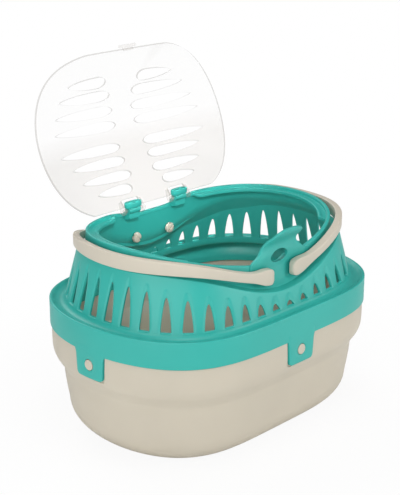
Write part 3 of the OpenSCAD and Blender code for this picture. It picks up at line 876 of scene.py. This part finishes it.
def tongue(g):
    """The latch tongue: a plate that rises from the rim and curls outwards"""
    base = g.half_w - g.band_inset(g.rim_latch) + TONGUE_T
    rows = spline(tongue_rows(g), 4)
    rings = []
    for i, (half, reach, z) in enumerate(rows):
        a, b = rows[max(i - 1, 0)], rows[min(i + 1, len(rows) - 1)]
        d = np.array([b[1] - a[1], b[2] - a[2]])
        d = d / np.linalg.norm(d)
        half = max(half, 0.4)
        r = min(1.1, half * 0.6)
        section = closed_rounded([(half, 0, r), (half, TONGUE_T, r), (-half, TONGUE_T, r),
                                  (-half, 0, r)], 4)
        rings.append([(x, -(base + reach - q * d[1]), z + q * d[0]) for x, q in section])
    return loft(rings)


TAB_HOLE_R = 5.1
TAB_POINTS = 120                         # points round a tab's hole and its outline


def circle_angles(count):
    return np.linspace(-math.pi, math.pi, count, endpoint=False)


def tab_loop(g, shrink):
    """A tab's outline, with fillets where it leaves the skirt, as points by angle round its hole"""
    w, top, foot = TAB_W / 2 - shrink, g.skirt_z, g.skirt_z - TAB_DROP + shrink
    half = [(0, foot, 0), (w - 1.5, foot, 4), (w - 0.2, top - 3.4, 1),
            (w + 1.2, top - 0.2 + shrink, 1.2), (w + 1.3, top + 6, 0), (0, top + 6, 0)]
    side = rounded(half, 6)
    outline = side + [(-a, b) for a, b in reversed(side)]
    dense = []
    for p, q in zip(outline, outline[1:] + outline[:1]):
        dense += [(mix(p[0], q[0], k / 8), mix(p[1], q[1], k / 8)) for k in range(8)]
    polar = sorted((math.atan2(b - STUD_Z, a), math.hypot(a, b - STUD_Z)) for a, b in dense)
    angles = circle_angles(TAB_POINTS)
    reach = np.interp(angles, [p[0] for p in polar], [p[1] for p in polar], period=2 * math.pi)
    return [(d * math.cos(a), STUD_Z + d * math.sin(a)) for a, d in zip(angles, reach)]


def tab_parts(g, turn):
    """A locking tab: rings from its round hole out to its edge, rounded at both"""
    e, t = 0.5, TAB_T
    place = g.side_place(turn, 0.04)
    hole = [(math.cos(a), math.sin(a)) for a in circle_angles(TAB_POINTS)]
    levels = []
    for wider, depth in ((0, t), (0, e), (0.13, 0.16), (0.45, 0)):
        r = TAB_HOLE_R + wider
        levels.append(([(r * a, STUD_Z + r * b) for a, b in hole], depth))
    inner, outer = levels[-1][0], tab_loop(g, e)
    for k in (0.35, 0.7):
        levels.append(([(mix(p[0], q[0], k), mix(p[1], q[1], k)) for p, q in zip(inner, outer)], 0))
    edge = tab_loop(g, 0)
    levels += [(outer, 0), (tab_loop(g, 0.15), 0.14), (edge, e), (edge, t)]
    return loft([[place(a, b, d) for a, b in ring] for ring, d in levels], closed=True)


HINGE_X = 30                             # the hinge posts, either side of the middle
POST_HALF, KNUCKLE_HALF, KNUCKLE_R = 6.5, 7, 3.6
HEAD_W, HEAD_D = 9.5, 3.9                # half width and half depth of a post's head
# Share of the head's size, and height over the hinge's axis
HEAD_LEVELS = ((0.86, 2.5), (0.97, 2.7), (1.0, 3.2), (1.0, 6.0), (0.985, 6.8), (0.94, 7.3),
               (0.85, 7.55), (0.5, 7.6), (0.05, 7.6))


def signed_power(value, power):
    return math.copysign(abs(value) ** power, value)


def post_head(k, angle):
    """A place on the head's outline, a soft rectangle, at a share of its size"""
    return ((HEAD_W - HEAD_D * (1 - k)) * signed_power(math.cos(angle), 0.6) * min(1, 3 * k),
            HEAD_D * k * signed_power(math.sin(angle), 0.75))


def hinge_post(g, side):
    """A post with a web, a knuckle and a mushroom head"""
    x, (_, y, z) = HINGE_X * side, HINGE
    wall_y = g.half_w - g.band_inset(z) - g.wall
    web = [(y - 1.8, z - 8), (y - 1.8, z + 3.4), (y + 1.8, z + 3.4), (y + 3.2, z - 1),
           (wall_y + 1.5, z - 3), (wall_y + 1.5, z - 10)]
    parts = [extruded(web, x - POST_HALF, x + POST_HALF, lambda a, b, d: (d, a, b))]
    r, h = KNUCKLE_R, KNUCKLE_HALF
    knuckle = [(0.1, -h), (r - 0.3, -h), (r, 0.3 - h), (r, h - 0.3), (r - 0.3, h), (0.1, h)]
    parts.append(disc_stack(knuckle, lambda a, b, d: (x + d, y + a, z + b), 32))
    head = []
    for k, level in HEAD_LEVELS:
        outline = [post_head(k, a) for a in np.linspace(0, 2 * math.pi, 49)[:-1]]
        head.append([(x + a, y + b, z + level) for a, b in outline])
    parts.append(loft(head))
    return parts


class CARRIER_OT_shell(bpy.types.Operator):
    """Makes the upper shell: skirt, slotted wall, groove, rim, seat, tabs, tongue and posts"""

    bl_idname = "carrier.shell"
    bl_label = "Upper shell"

    def execute(self, context):
        g = Shape()
        ring = new_piece("shell_ring", *shell_body(g))
        flap = new_piece("tongue", *tongue(g))
        wide, high, z = *LATCH_HOLE, g.rim_latch + LATCH_UP
        for piece in (ring, flap):
            hole = disc_stack([(1, -70), (1, -100)], lambda a, b, d: (wide * a, d, z + high * b), 56)
            cut(piece, new_piece("hole", *hole), piece is flap)
        tabs = join("tabs", [tab_parts(g, turn) for turn in SIDES])
        posts = join("posts", hinge_post(g, -1) + hinge_post(g, 1))
        piece = merge([ring, flap, tabs, posts], "shell")
        plastic = moulded_plastic("Teal plastic", settings("shell").tint, spread=0.03,
                                  roughness=0.40, grain=1000)
        finish_piece(piece, plastic, "carrier", "upper_shell")
        return {"FINISHED"}


# ---- Handles -----------------------------------------------------------------------------


BAND_OVER_GROOVE = 1
MIDDLE_LIFT = 7.2                        # how much higher the band is at the paddles than the ends
PADDLE_FLARE, FLARE_WIDTH = 5.9, 12
TIP_OVER, TIP_ROUND = 9, 6.5             # from the pivot to the band's end, and its rounding
FAR_SINK = 0.8                           # how much lower and slimmer the band is at the back
PIN_R, PIN_OUT = 3, 3.4                  # a pin, and how far it goes inside the wall
HEAD_START, HEAD_R = 0.9, 5.0            # its snap head: where it starts inside the wall, its radius
# Share of a snap head's radius, and depth from where it starts
SNAP_LEVELS = ((0.86, 0), (1.0, -0.35), (1.0, -1.4), (0.9, -2.5), (0.62, -3.2), (0.3, -3.3))
SLIT, SLIT_LEAN = 0.75, 35               # half the slit's width, and its lean in degrees


def band_height(v):
    return 8.5 + 4 * max(0, (abs(v) - 0.45) / 0.55) ** 1.5


def handle_height(x, v):
    """The band's height, flared both ways at the paddle"""
    return band_height(v) + PADDLE_FLARE * math.exp(-(max(0, abs(x) - PIVOT[0]) / FLARE_WIDTH) ** 2)


def handle_line(g, long):
    """Places on the outline from one tip of a half handle, round its end, to the other tip"""
    pivot_x = abs(PIVOT[0])
    tip = pivot_x - TIP_OVER
    plan = [tip + TIP_ROUND * (1 - math.cos(a)) for a in np.linspace(0.04, math.pi / 2, 14)]
    plan += list(np.linspace(tip + TIP_ROUND + 1.1, pivot_x + 26, 26))
    front = [(x / long, -math.sqrt(1 - (x / long) ** g.power)) for x in plan]
    last = math.atan2(front[-1][1], front[-1][0])
    middle = []
    for a in np.linspace(last, -last, 150)[1:-1]:
        i = int(round((a % (2 * math.pi)) / (2 * math.pi) * PLAN_STEPS))
        middle.append((float(g.ux[i]), float(g.uy[i])))
    return front + middle + [(u[0], -u[1]) for u in reversed(front)]


def handle_band(g, side):
    """The band of one half handle, with blunt ends"""
    h = settings("handle")
    inset, thick, thin = g.handle_inset, mm(h.thickness), mm(h.end_thickness)
    long = g.half_l - inset
    tip = abs(PIVOT[0]) - TIP_OVER
    rings = []
    for u in handle_line(g, long):
        x, v = u[0] * long, u[0]
        low = g.groove(v) + BAND_OVER_GROOVE + MIDDLE_LIFT * (1 - abs(v) ** 1.4)
        from_tip = min(1.0, max(0.0, (x - tip) / TIP_ROUND))
        blunt = (1 - (1 - from_tip) ** 2.5) ** (1 / 2.5)
        high = handle_height(x, v) * max(blunt, 0.12) / 2
        sunk = FAR_SINK * smooth((u[1] - 0.3) / 0.4)
        z, high = low + band_height(v) / 2 - sunk, high - sunk
        t = mix(thick, thin, smooth(abs(v)))
        end = max(blunt, 0.3)
        s0, s1 = inset + t * (1 - end) * 0.35, inset + t - t * (1 - end) * 0.35
        r = min(1.1, high * 0.9)
        section = closed_rounded([(s0, z - high, r), (s0, z + high, r), (s1, z + high, r),
                                  (s1, z - high, r)], 5)
        rings.append([(side * p[0], p[1], p[2]) for p in (g.at(u, a, b) for a, b in section)])
    return loft(rings)


def handle_parts(g, side):
    """One half handle: the band that goes round the end, and its pins with split heads"""
    parts = [handle_band(g, side)]
    inner_y = g.half_w - g.band_inset(PIVOT[2]) - g.wall
    face_y = g.half_w - g.handle_inset - mm(settings("handle").thickness)
    for across in (-1, 1):
        def place(a, b, d):
            return (side * abs(PIVOT[0]) + a, across * d, PIVOT[2] + b)
        parts.append(disc_stack([(PIN_R, inner_y - PIN_OUT), (PIN_R, face_y + 2)], place, 32))
        parts += split_head(place, inner_y - HEAD_START, side * across)
    return parts


def split_head(place, start, lean):
    """A snap head cut in two by a slit, leaning like the real one"""
    parts = []
    c, s = turned(SLIT_LEAN * lean)
    for half in (-1, 1):
        rings = []
        for k, d in SNAP_LEVELS:
            r = HEAD_R * k
            gap = math.asin(min(0.95, SLIT / r))
            angles = np.linspace(gap, math.pi - gap, 17)
            arc = [(r * math.cos(a), r * math.sin(a) * half) for a in angles]
            rings.append([place(a * c - b * s, a * s + b * c, start + d) for a, b in arc])
        parts.append(loft(rings))
    return parts


class CARRIER_OT_handles(bpy.types.Operator):
    """Makes the two half handles"""

    bl_idname = "carrier.handles"
    bl_label = "Handles"

    def execute(self, context):
        g = Shape()
        plastic = moulded_plastic("Handle plastic", settings("handle").tint, spread=0.02,
                                  roughness=0.38, grain=900, soft=0.06)
        for name, side, body, node in (("handle_left", -1, "left_half_handle", "left_handle"),
                                       ("handle_right", 1, "right_half_handle", "right_handle")):
            piece = join(name, handle_parts(g, side))
            finish_piece(piece, plastic, body, node)
        return {"FINISHED"}


# ---- Lid ---------------------------------------------------------------------------------

LID_TAB, TAB_HALF, NECK_HALF = 4.2, 10.5, 6      # the latch tab: how far it stands out, half widths
NOTCH = 10.5                             # half width, and depth from the hinge, of a post's notch
EAR_T, EAR_R, LID_PIN_R, PIN_END = 2.5, 3.6, 1.8, 7.2
CROWN_SHARE = 0.6                        # how far the crown is from the hinge to the latch
# Each pair of slots: place from the hinge, nearer end and farther end from the middle
LID_SLOTS = [(20, 20, 62), (33, 14, 75), (47, 15, 81), (60, 15, 91),
             (81, 12, 91), (95, 12, 86), (109, 14, 78), (121, 20, 65)]
SLOTS_SPAN, LID_SLOT_W = 146, 9.4        # the lid's length that those places are on, a slot's width
EDGE_POINTS = 1440                       # places round the lid's edge
GRID = 2.6                               # spacing of the points inside the lid's sheet
EDGE_CLEAR, SLOT_CLEAR = 1.2, 1.1        # their least distance to the edge and to a slot


class Lid:
    """The closed lid's surface, in millimetres"""

    def __init__(self, g):
        s = settings("lid")
        self.g, self.t = g, mm(s.thickness)
        _, self.hinge_y, self.hinge_z = HINGE
        self.latch_z = g.rim_latch + LATCH_UP
        # How far the latch edge is in front of the middle, and the hinge edge behind it
        self.front = g.half_w - g.band_inset(g.rim_latch) - 1 - LID_TAB
        self.back = self.hinge_y - 3
        drop, reach = self.hinge_z - self.latch_z, self.hinge_y + self.front
        self.run = math.hypot(reach, drop)
        self.swing = math.pi / 2 + math.atan2(drop, reach) + s.lean
        self.mid_y = self.hinge_y - CROWN_SHARE * reach
        self.mid_z = self.hinge_z - CROWN_SHARE * drop + mm(s.crown)
        # The sheet's middle over the rim, where it lies on the seat
        self.lift = self.t / 2 + 1 - SEAT_D - 0.2
        self.rim = [self.edge(g.unit(i / EDGE_POINTS)) for i in range(EDGE_POINTS)]
        # The edge by angle round the crown, with its first point once more at the end
        angles = np.unwrap([math.atan2(p[1] - self.mid_y, p[0]) for p in self.rim])
        self.angles = np.concatenate([angles, [angles[0] + 2 * math.pi]])
        closed = self.rim + self.rim[:1]
        self.far = np.array([math.hypot(p[0], p[1] - self.mid_y) for p in closed])
        self.high = np.array([p[2] for p in closed])

    def edge(self, u):
        """A place on the lid's edge: on the rim's seat, over the latch and at the hinge"""
        g = self.g
        v, r = abs(u[0]), g.rim(u)
        s = g.band_inset(r) + g.wall + (LIP - g.wall) * g.lip_part(u) + 0.9
        if u[1] < 0:
            z = r + LATCH_UP + (self.lift - LATCH_UP) * smooth((v - 0.25) / 0.3)
        else:
            z = self.hinge_z + (r + self.lift - self.hinge_z) * smooth((v - 0.3) / 0.3)
        return ((g.half_l - s) * u[0], min(self.back, max(-self.front, (g.half_w - s) * u[1])), z)

    def height(self, x, y):
        """The closed lid's height over a place"""
        a = math.atan2(y - self.mid_y, x)
        if a < self.angles[0]:
            a += 2 * math.pi
        far = float(np.interp(a, self.angles, self.far))
        high = float(np.interp(a, self.angles, self.high))
        r = min(1.02, math.hypot(x, y - self.mid_y) / far)
        return self.mid_z - (self.mid_z - high) * r ** 1.9

    def opened(self, p):
        """Turns a point of the closed lid to where the open lid holds it"""
        c, s = math.cos(-self.swing), math.sin(-self.swing)
        y, z = p[1] - self.hinge_y, p[2] - self.hinge_z
        return (p[0], self.hinge_y + y * c - z * s, self.hinge_z + y * s + z * c)


def slot_outline(x0, x1, y, width):
    """A slot with a round inner end and a pointed outer end"""
    share, round_steps, point_steps, half = 0.22, 10, 18, width / 2
    top = [(share * i / round_steps, math.sqrt(max(0, 1 - (1 - i / round_steps) ** 2)))
           for i in range(round_steps)]
    top += [(share + (1 - share) * i / point_steps, (1 - (i / point_steps) ** 2.2) ** 0.7)
            for i in range(point_steps + 1)]
    upper = [(x0 + (x1 - x0) * a, y + half * b) for a, b in top]
    lower = [(x0 + (x1 - x0) * a, y - half * b) for a, b in reversed(top[1:-1])]
    return upper + lower


def lid_sheet(lid):
    """The lid's sheet with its slots and hinge notches, cut in plan and raised to the dome"""
    outline = notched([p[:2] for p in lid.rim[::4]], lid.back, lid.hinge_y - NOTCH)
    holes = []
    for side in (-1, 1):
        for along, x0, x1 in LID_SLOTS:
            y = lid.hinge_y - along * lid.run / SLOTS_SPAN
            hole = [(side * a, b) for a, b in slot_outline(x0, x1, y, LID_SLOT_W)]
            holes.append(hole if side > 0 else hole[::-1])
    pts, edges = [], []
    for loop in (outline, *holes):
        base = len(pts)
        pts += [Vector(p) for p in loop]
        edges += [(base + i, base + (i + 1) % len(loop)) for i in range(len(loop))]
    inside = []
    for i in range(-46, 47):
        for j in range(-40, 40):
            p = Vector((GRID * (i + 0.5 * (j % 2)), GRID * 0.87 * j))
            if within(p, outline) and min((p - Vector(q)).length for q in outline) > EDGE_CLEAR:
                inside.append(p)
    near = np.array([q for hole in holes for q in hole])
    inside = [p for p in inside if np.min(np.hypot(near[:, 0] - p.x, near[:, 1] - p.y)) > SLOT_CLEAR]
    made, _, triangles = delaunay_2d_cdt(pts + inside, edges, [], 1, 1e-5)[:3]
    kept = []
    for t in triangles:
        c = sum((made[i] for i in t), Vector((0, 0))) / len(t)
        if within(c, outline) and not any(within(c, hole) for hole in holes):
            kept.append(tuple(t))
    return [(p.x, p.y, lid.height(p.x, p.y)) for p in made], kept


def notched(outline, back, floor):
    """The outline with square notches for the hinge posts cut into its straight back edge"""
    reach = HINGE_X + NOTCH
    ahead = [p for p in outline if not (p[1] > back - 0.01 and abs(p[0]) < reach + 3)]
    # The outline runs from +X round by the back to -X: the break is where the back edge was
    at = next(i for i in range(len(ahead)) if ahead[i][0] < 0 < ahead[i - 1][0] and ahead[i][1] > 0)
    steps = []
    for x in (HINGE_X, -HINGE_X):
        a, b = x + NOTCH, x - NOTCH
        steps += rounded([(a + 1, back, 0), (a, back, 0.8), (a, floor, 1.5), (b, floor, 1.5),
                          (b, back, 0.8), (b - 1, back, 0)], 3)
    return ahead[:at] + steps + ahead[at:]


def within(p, loop):
    """Whether a closed outline holds a point"""
    inside = False
    x, y = p[0], p[1]
    for i, (x0, y0) in enumerate(loop):
        x1, y1 = loop[i - 1]
        if (y0 > y) != (y1 > y) and x < (x1 - x0) * (y - y0) / (y1 - y0) + x0:
            inside = not inside
    return inside


def lid_fittings(lid):
    """Ears and pins at the hinge, and the latch tab at the free edge"""
    parts = []
    y, z = lid.hinge_y, lid.hinge_z
    ear = [(y + EAR_R * math.sin(a), z + EAR_R * math.cos(a)) for a in np.linspace(0, math.pi, 17)]
    ear += [(y - 9, z + 0.5), (y - 9, z + 2.5)]
    for side in (-1, 1):
        for way in (-1, 1):
            x0, x1, inner = [side * (HINGE_X + way * d) for d in (NOTCH, NOTCH + EAR_T, PIN_END)]
            parts.append(extruded(ear, x0, x1, lambda a, b, d: (d, a, b)))
            a, b = sorted(((x0 + x1) / 2, inner))
            r = LID_PIN_R
            parts.append(disc_stack([(r - 0.3, a), (r, a + 0.3), (r, b - 0.3), (r - 0.3, b)],
                                    lambda p, q, d: (d, y + p, z + q), 24))
    root, tip = 1.5 - lid.front, -lid.front - LID_TAB
    half = [(NECK_HALF, root, 0), (NECK_HALF, tip + 2.6, 0.5), (TAB_HALF, tip + 2.6, 0.8),
            (TAB_HALF, tip, 1)]
    tab = rounded([(-a, b, c) for a, b, c in half] + half[::-1], 3)
    low, high = lid.latch_z - lid.t / 2, lid.latch_z + lid.t / 2
    parts.append(extruded(tab, low, high, lambda a, b, d: (a, b, d)))
    return parts


class CARRIER_OT_lid(bpy.types.Operator):
    """Makes the clear lid, standing open on its hinge"""

    bl_idname = "carrier.lid"
    bl_label = "Clear lid"

    def execute(self, context):
        g = Shape()
        lid = Lid(g)
        verts, tris = lid_sheet(lid)
        sheet = new_piece("lid_sheet", [lid.opened(p) for p in verts], tris, angle=80)
        thick = sheet.modifiers.new("Thickness", "SOLIDIFY")
        thick.thickness, thick.offset = lid.t * MM, 0
        thick.use_even_offset, thick.material_offset_rim = True, 1
        # The cut edges take the second of two materials, which come once the piece is whole
        sheet.data.materials.append(None)
        sheet.data.materials.append(None)
        apply_modifiers(sheet)
        shade(sheet.data, angle=50)
        soften(sheet, 0.35, angle=50)
        fittings = join("lid_fittings", [([lid.opened(p) for p in v], f) for v, f in lid_fittings(lid)])
        soften(fittings, 0.3)
        for p in fittings.data.polygons:
            p.material_index = 2
        piece = merge([sheet, fittings], "lid")
        kinds = [p.material_index for p in piece.data.polygons]
        tint = settings("lid").tint
        finish_piece(piece, clear_plastic("Clear plastic", tint), "lid", "clear_lid")
        # Painted shade: the cut edges take a darker, more opaque copy of the clear plastic for the dark
        # line that light makes in them; the fittings are cloudier where the plastic is thick
        for plastic in (clear_plastic("Clear edge painted shade", [c * 0.6 for c in tint], cloud=0.36, haze_and_painted_shade_low=0.42),
                        clear_plastic("Clear fittings", tint, cloud=0.12, haze_and_painted_shade_low=0.14)):
            piece.data.materials.append(plastic)
        for p, kind in zip(piece.data.polygons, kinds):
            p.material_index = kind
        return {"FINISHED"}


# ---- Floor, light and camera -------------------------------------------------------------


# Place, target, width, watts, colour and spread in degrees of each lamp
LAMPS = {
    "key": ((1.1, -1.9, 0.75), (0, 0, 0.1), 1.6, 21.5, (1, 0.985, 0.96), 180),
    "left": ((-2.2, -0.25, 0.7), (0, 0, 0.1), 1.6, 18.5, (1, 0.99, 0.97), 180),
    "front": ((-1.6, -1.5, 0.8), (0, 0, 0.1), 1.4, 10.5, (1, 1, 1), 180),
    "back": ((0.4, 1.9, 1.8), (0, 0, 0.15), 1.6, 20, (1, 1, 1), 180),
    "top": ((-0.2, -0.3, 2.2), (0, 0, 0.1), 1.3, 15, (1, 1, 1), 180),
    "inside": ((-0.25, -0.26, 0.47), (0.03, 0.1, 0.16), 0.06, 0.05, (1, 1, 1), 29),
}
CAMERA_PLACE = (-0.78006, -0.72906, 0.51320)
CAMERA_TURN, CAMERA_TILT = -46.41, 18.51      # degrees from -Y, and up from the floor
LENS, SENSOR = 90.45, 36.0
FLOOR_Z = -0.3                                # just under the tub's foot
FLOOR_RINGS = (20, 400, 4000, 9000)           # radii


def add_lamp(name, place, target, width, power, tint, spread):
    """A round lamp that the camera doesn't see"""
    data = bpy.data.lights.new(name, "AREA")
    data.spread = math.radians(spread)
    data.shape, data.size, data.energy, data.color = "DISK", width, power, tint
    lamp = bpy.data.objects.new(name, data)
    lamp.location = place
    lamp.rotation_euler = (Vector(target) - Vector(place)).to_track_quat("-Z", "Y").to_euler()
    lamp.visible_camera = False
    bpy.context.scene.collection.objects.link(lamp)


def add_camera():
    """The camera, which looks down at the carrier from its front left"""
    data = bpy.data.cameras.new("camera")
    data.sensor_width, data.sensor_fit, data.lens = SENSOR, "AUTO", LENS
    data.clip_start, data.clip_end = 0.05, 30
    camera = bpy.data.objects.new("camera", data)
    bpy.context.scene.collection.objects.link(camera)
    camera.location = CAMERA_PLACE
    (ahead, aside), (level, up) = turned(CAMERA_TURN), turned(CAMERA_TILT)
    view = Vector((-aside * level, ahead * level, -up))
    camera.rotation_mode = "QUATERNION"
    camera.rotation_quaternion = view.to_track_quat("-Z", "Y")
    bpy.context.scene.camera = camera


def background_rays(tree):
    """1 for what the camera sees, also through clear pieces, and 0 for the light on the object"""
    path = add_node(tree, "LightPath").outputs
    rays = {0: path["Is Camera Ray"], 1: path["Is Transmission Ray"]}
    return add_node(tree, "Math", rays, operation="MAXIMUM").outputs[0]


def studio_world(strength):
    """Soft light from all round, and a white background to the eye and through clear pieces"""
    world = bpy.data.worlds.new("Studio")
    world.use_nodes = True
    tree = world.node_tree
    tree.nodes.clear()
    light = add_node(tree, "Background", {"Color": (1.0, 0.985, 0.965, 1), "Strength": strength})
    backdrop = add_node(tree, "Background", {"Color": (1, 1, 1, 1), "Strength": 1.0})
    pick = add_node(tree, "MixShader", {"Fac": background_rays(tree), 1: light.outputs[0],
                                        2: backdrop.outputs[0]})
    add_node(tree, "OutputWorld", {"Surface": pick.outputs[0]})
    bpy.context.scene.world = world


def floor_paint(tint):
    """Matt floor that takes a soft shadow and is white where it takes none"""
    m, tree, shader = new_material("Floor paint")
    grain = add_node(tree, "TexNoise", {"Scale": 6.0}).outputs["Fac"]
    feed(tree, shader, {
        "Base Color": tint_range(tree, grain, ([c * 0.99 for c in tint], tint)),
        "Roughness": 0.9,
        "Specular IOR Level": 0.1,
    })
    glow = add_node(tree, "Emission", {"Color": (1, 1, 1, 1), "Strength": 1.0})
    far = add_node(tree, "VectorMath", {0: object_place(tree)}, operation="LENGTH").outputs["Value"]
    whiter = map_range(tree, far, 0.92, 1.0, 0.14, 0.36)
    share = add_node(tree, "Math", {0: background_rays(tree), 1: whiter}, operation="MULTIPLY")
    pick = add_node(tree, "MixShader", {"Fac": share.outputs[0], 1: shader.outputs["BSDF"],
                                        2: glow.outputs["Emission"]})
    add_node(tree, "OutputMaterial", {"Surface": pick.outputs[0]})
    return m


class CARRIER_OT_stage(bpy.types.Operator):
    """Makes the floor, the studio light and the camera"""

    bl_idname = "carrier.stage"
    bl_label = "Floor, light and camera"

    def execute(self, context):
        s = settings("studio")
        angles = np.linspace(0, 2 * math.pi, 97)[:-1]
        rings = [[(r * math.cos(a), r * math.sin(a), FLOOR_Z) for a in angles] for r in FLOOR_RINGS]
        verts, faces = loft(rings, caps=False)
        faces.append(tuple(range(len(angles))))
        floor = new_piece("floor", verts, faces)
        floor.data.materials.append(floor_paint(s.floor))
        studio_world(s.fill)
        for name, (place, target, width, power, tint, spread) in LAMPS.items():
            add_lamp(name, place, target, width, power * s.lamps, tint, spread)
        add_camera()
        return {"FINISHED"}


# ---- Add-on ------------------------------------------------------------------------------

OPERATORS = (CARRIER_OT_tub, CARRIER_OT_shell, CARRIER_OT_handles, CARRIER_OT_lid, CARRIER_OT_stage)


class CARRIER_PT_panel(bpy.types.Panel):
    """Sizes and colours of the carrier, and a button for each piece"""

    bl_idname = "CARRIER_PT_panel"
    bl_label = "Small pet carrier"
    bl_space_type = "VIEW_3D"
    bl_region_type = "UI"
    bl_category = "Carrier"

    def draw(self, context):
        for name, group in GROUPS.items():
            box = self.layout.box()
            box.label(text=group.__doc__)
            for prop in group.__annotations__:
                box.prop(getattr(context.scene, "carrier_" + name), prop)
        for op in OPERATORS:
            self.layout.operator(op.bl_idname)


def register():
    for c in (*GROUPS.values(), *OPERATORS, CARRIER_PT_panel):
        bpy.utils.register_class(c)
    for name, group in GROUPS.items():
        setattr(bpy.types.Scene, "carrier_" + name, bpy.props.PointerProperty(type=group))


def unregister():
    for name in GROUPS:
        delattr(bpy.types.Scene, "carrier_" + name)
    for c in reversed((*GROUPS.values(), *OPERATORS, CARRIER_PT_panel)):
        bpy.utils.unregister_class(c)


def main():
    register()
    bpy.context.scene.view_settings.view_transform = "Standard"
    bpy.ops.carrier.tub()
    bpy.ops.carrier.shell()
    bpy.ops.carrier.handles()
    bpy.ops.carrier.lid()
    bpy.ops.carrier.stage()


if __name__ == "__main__":
    main()
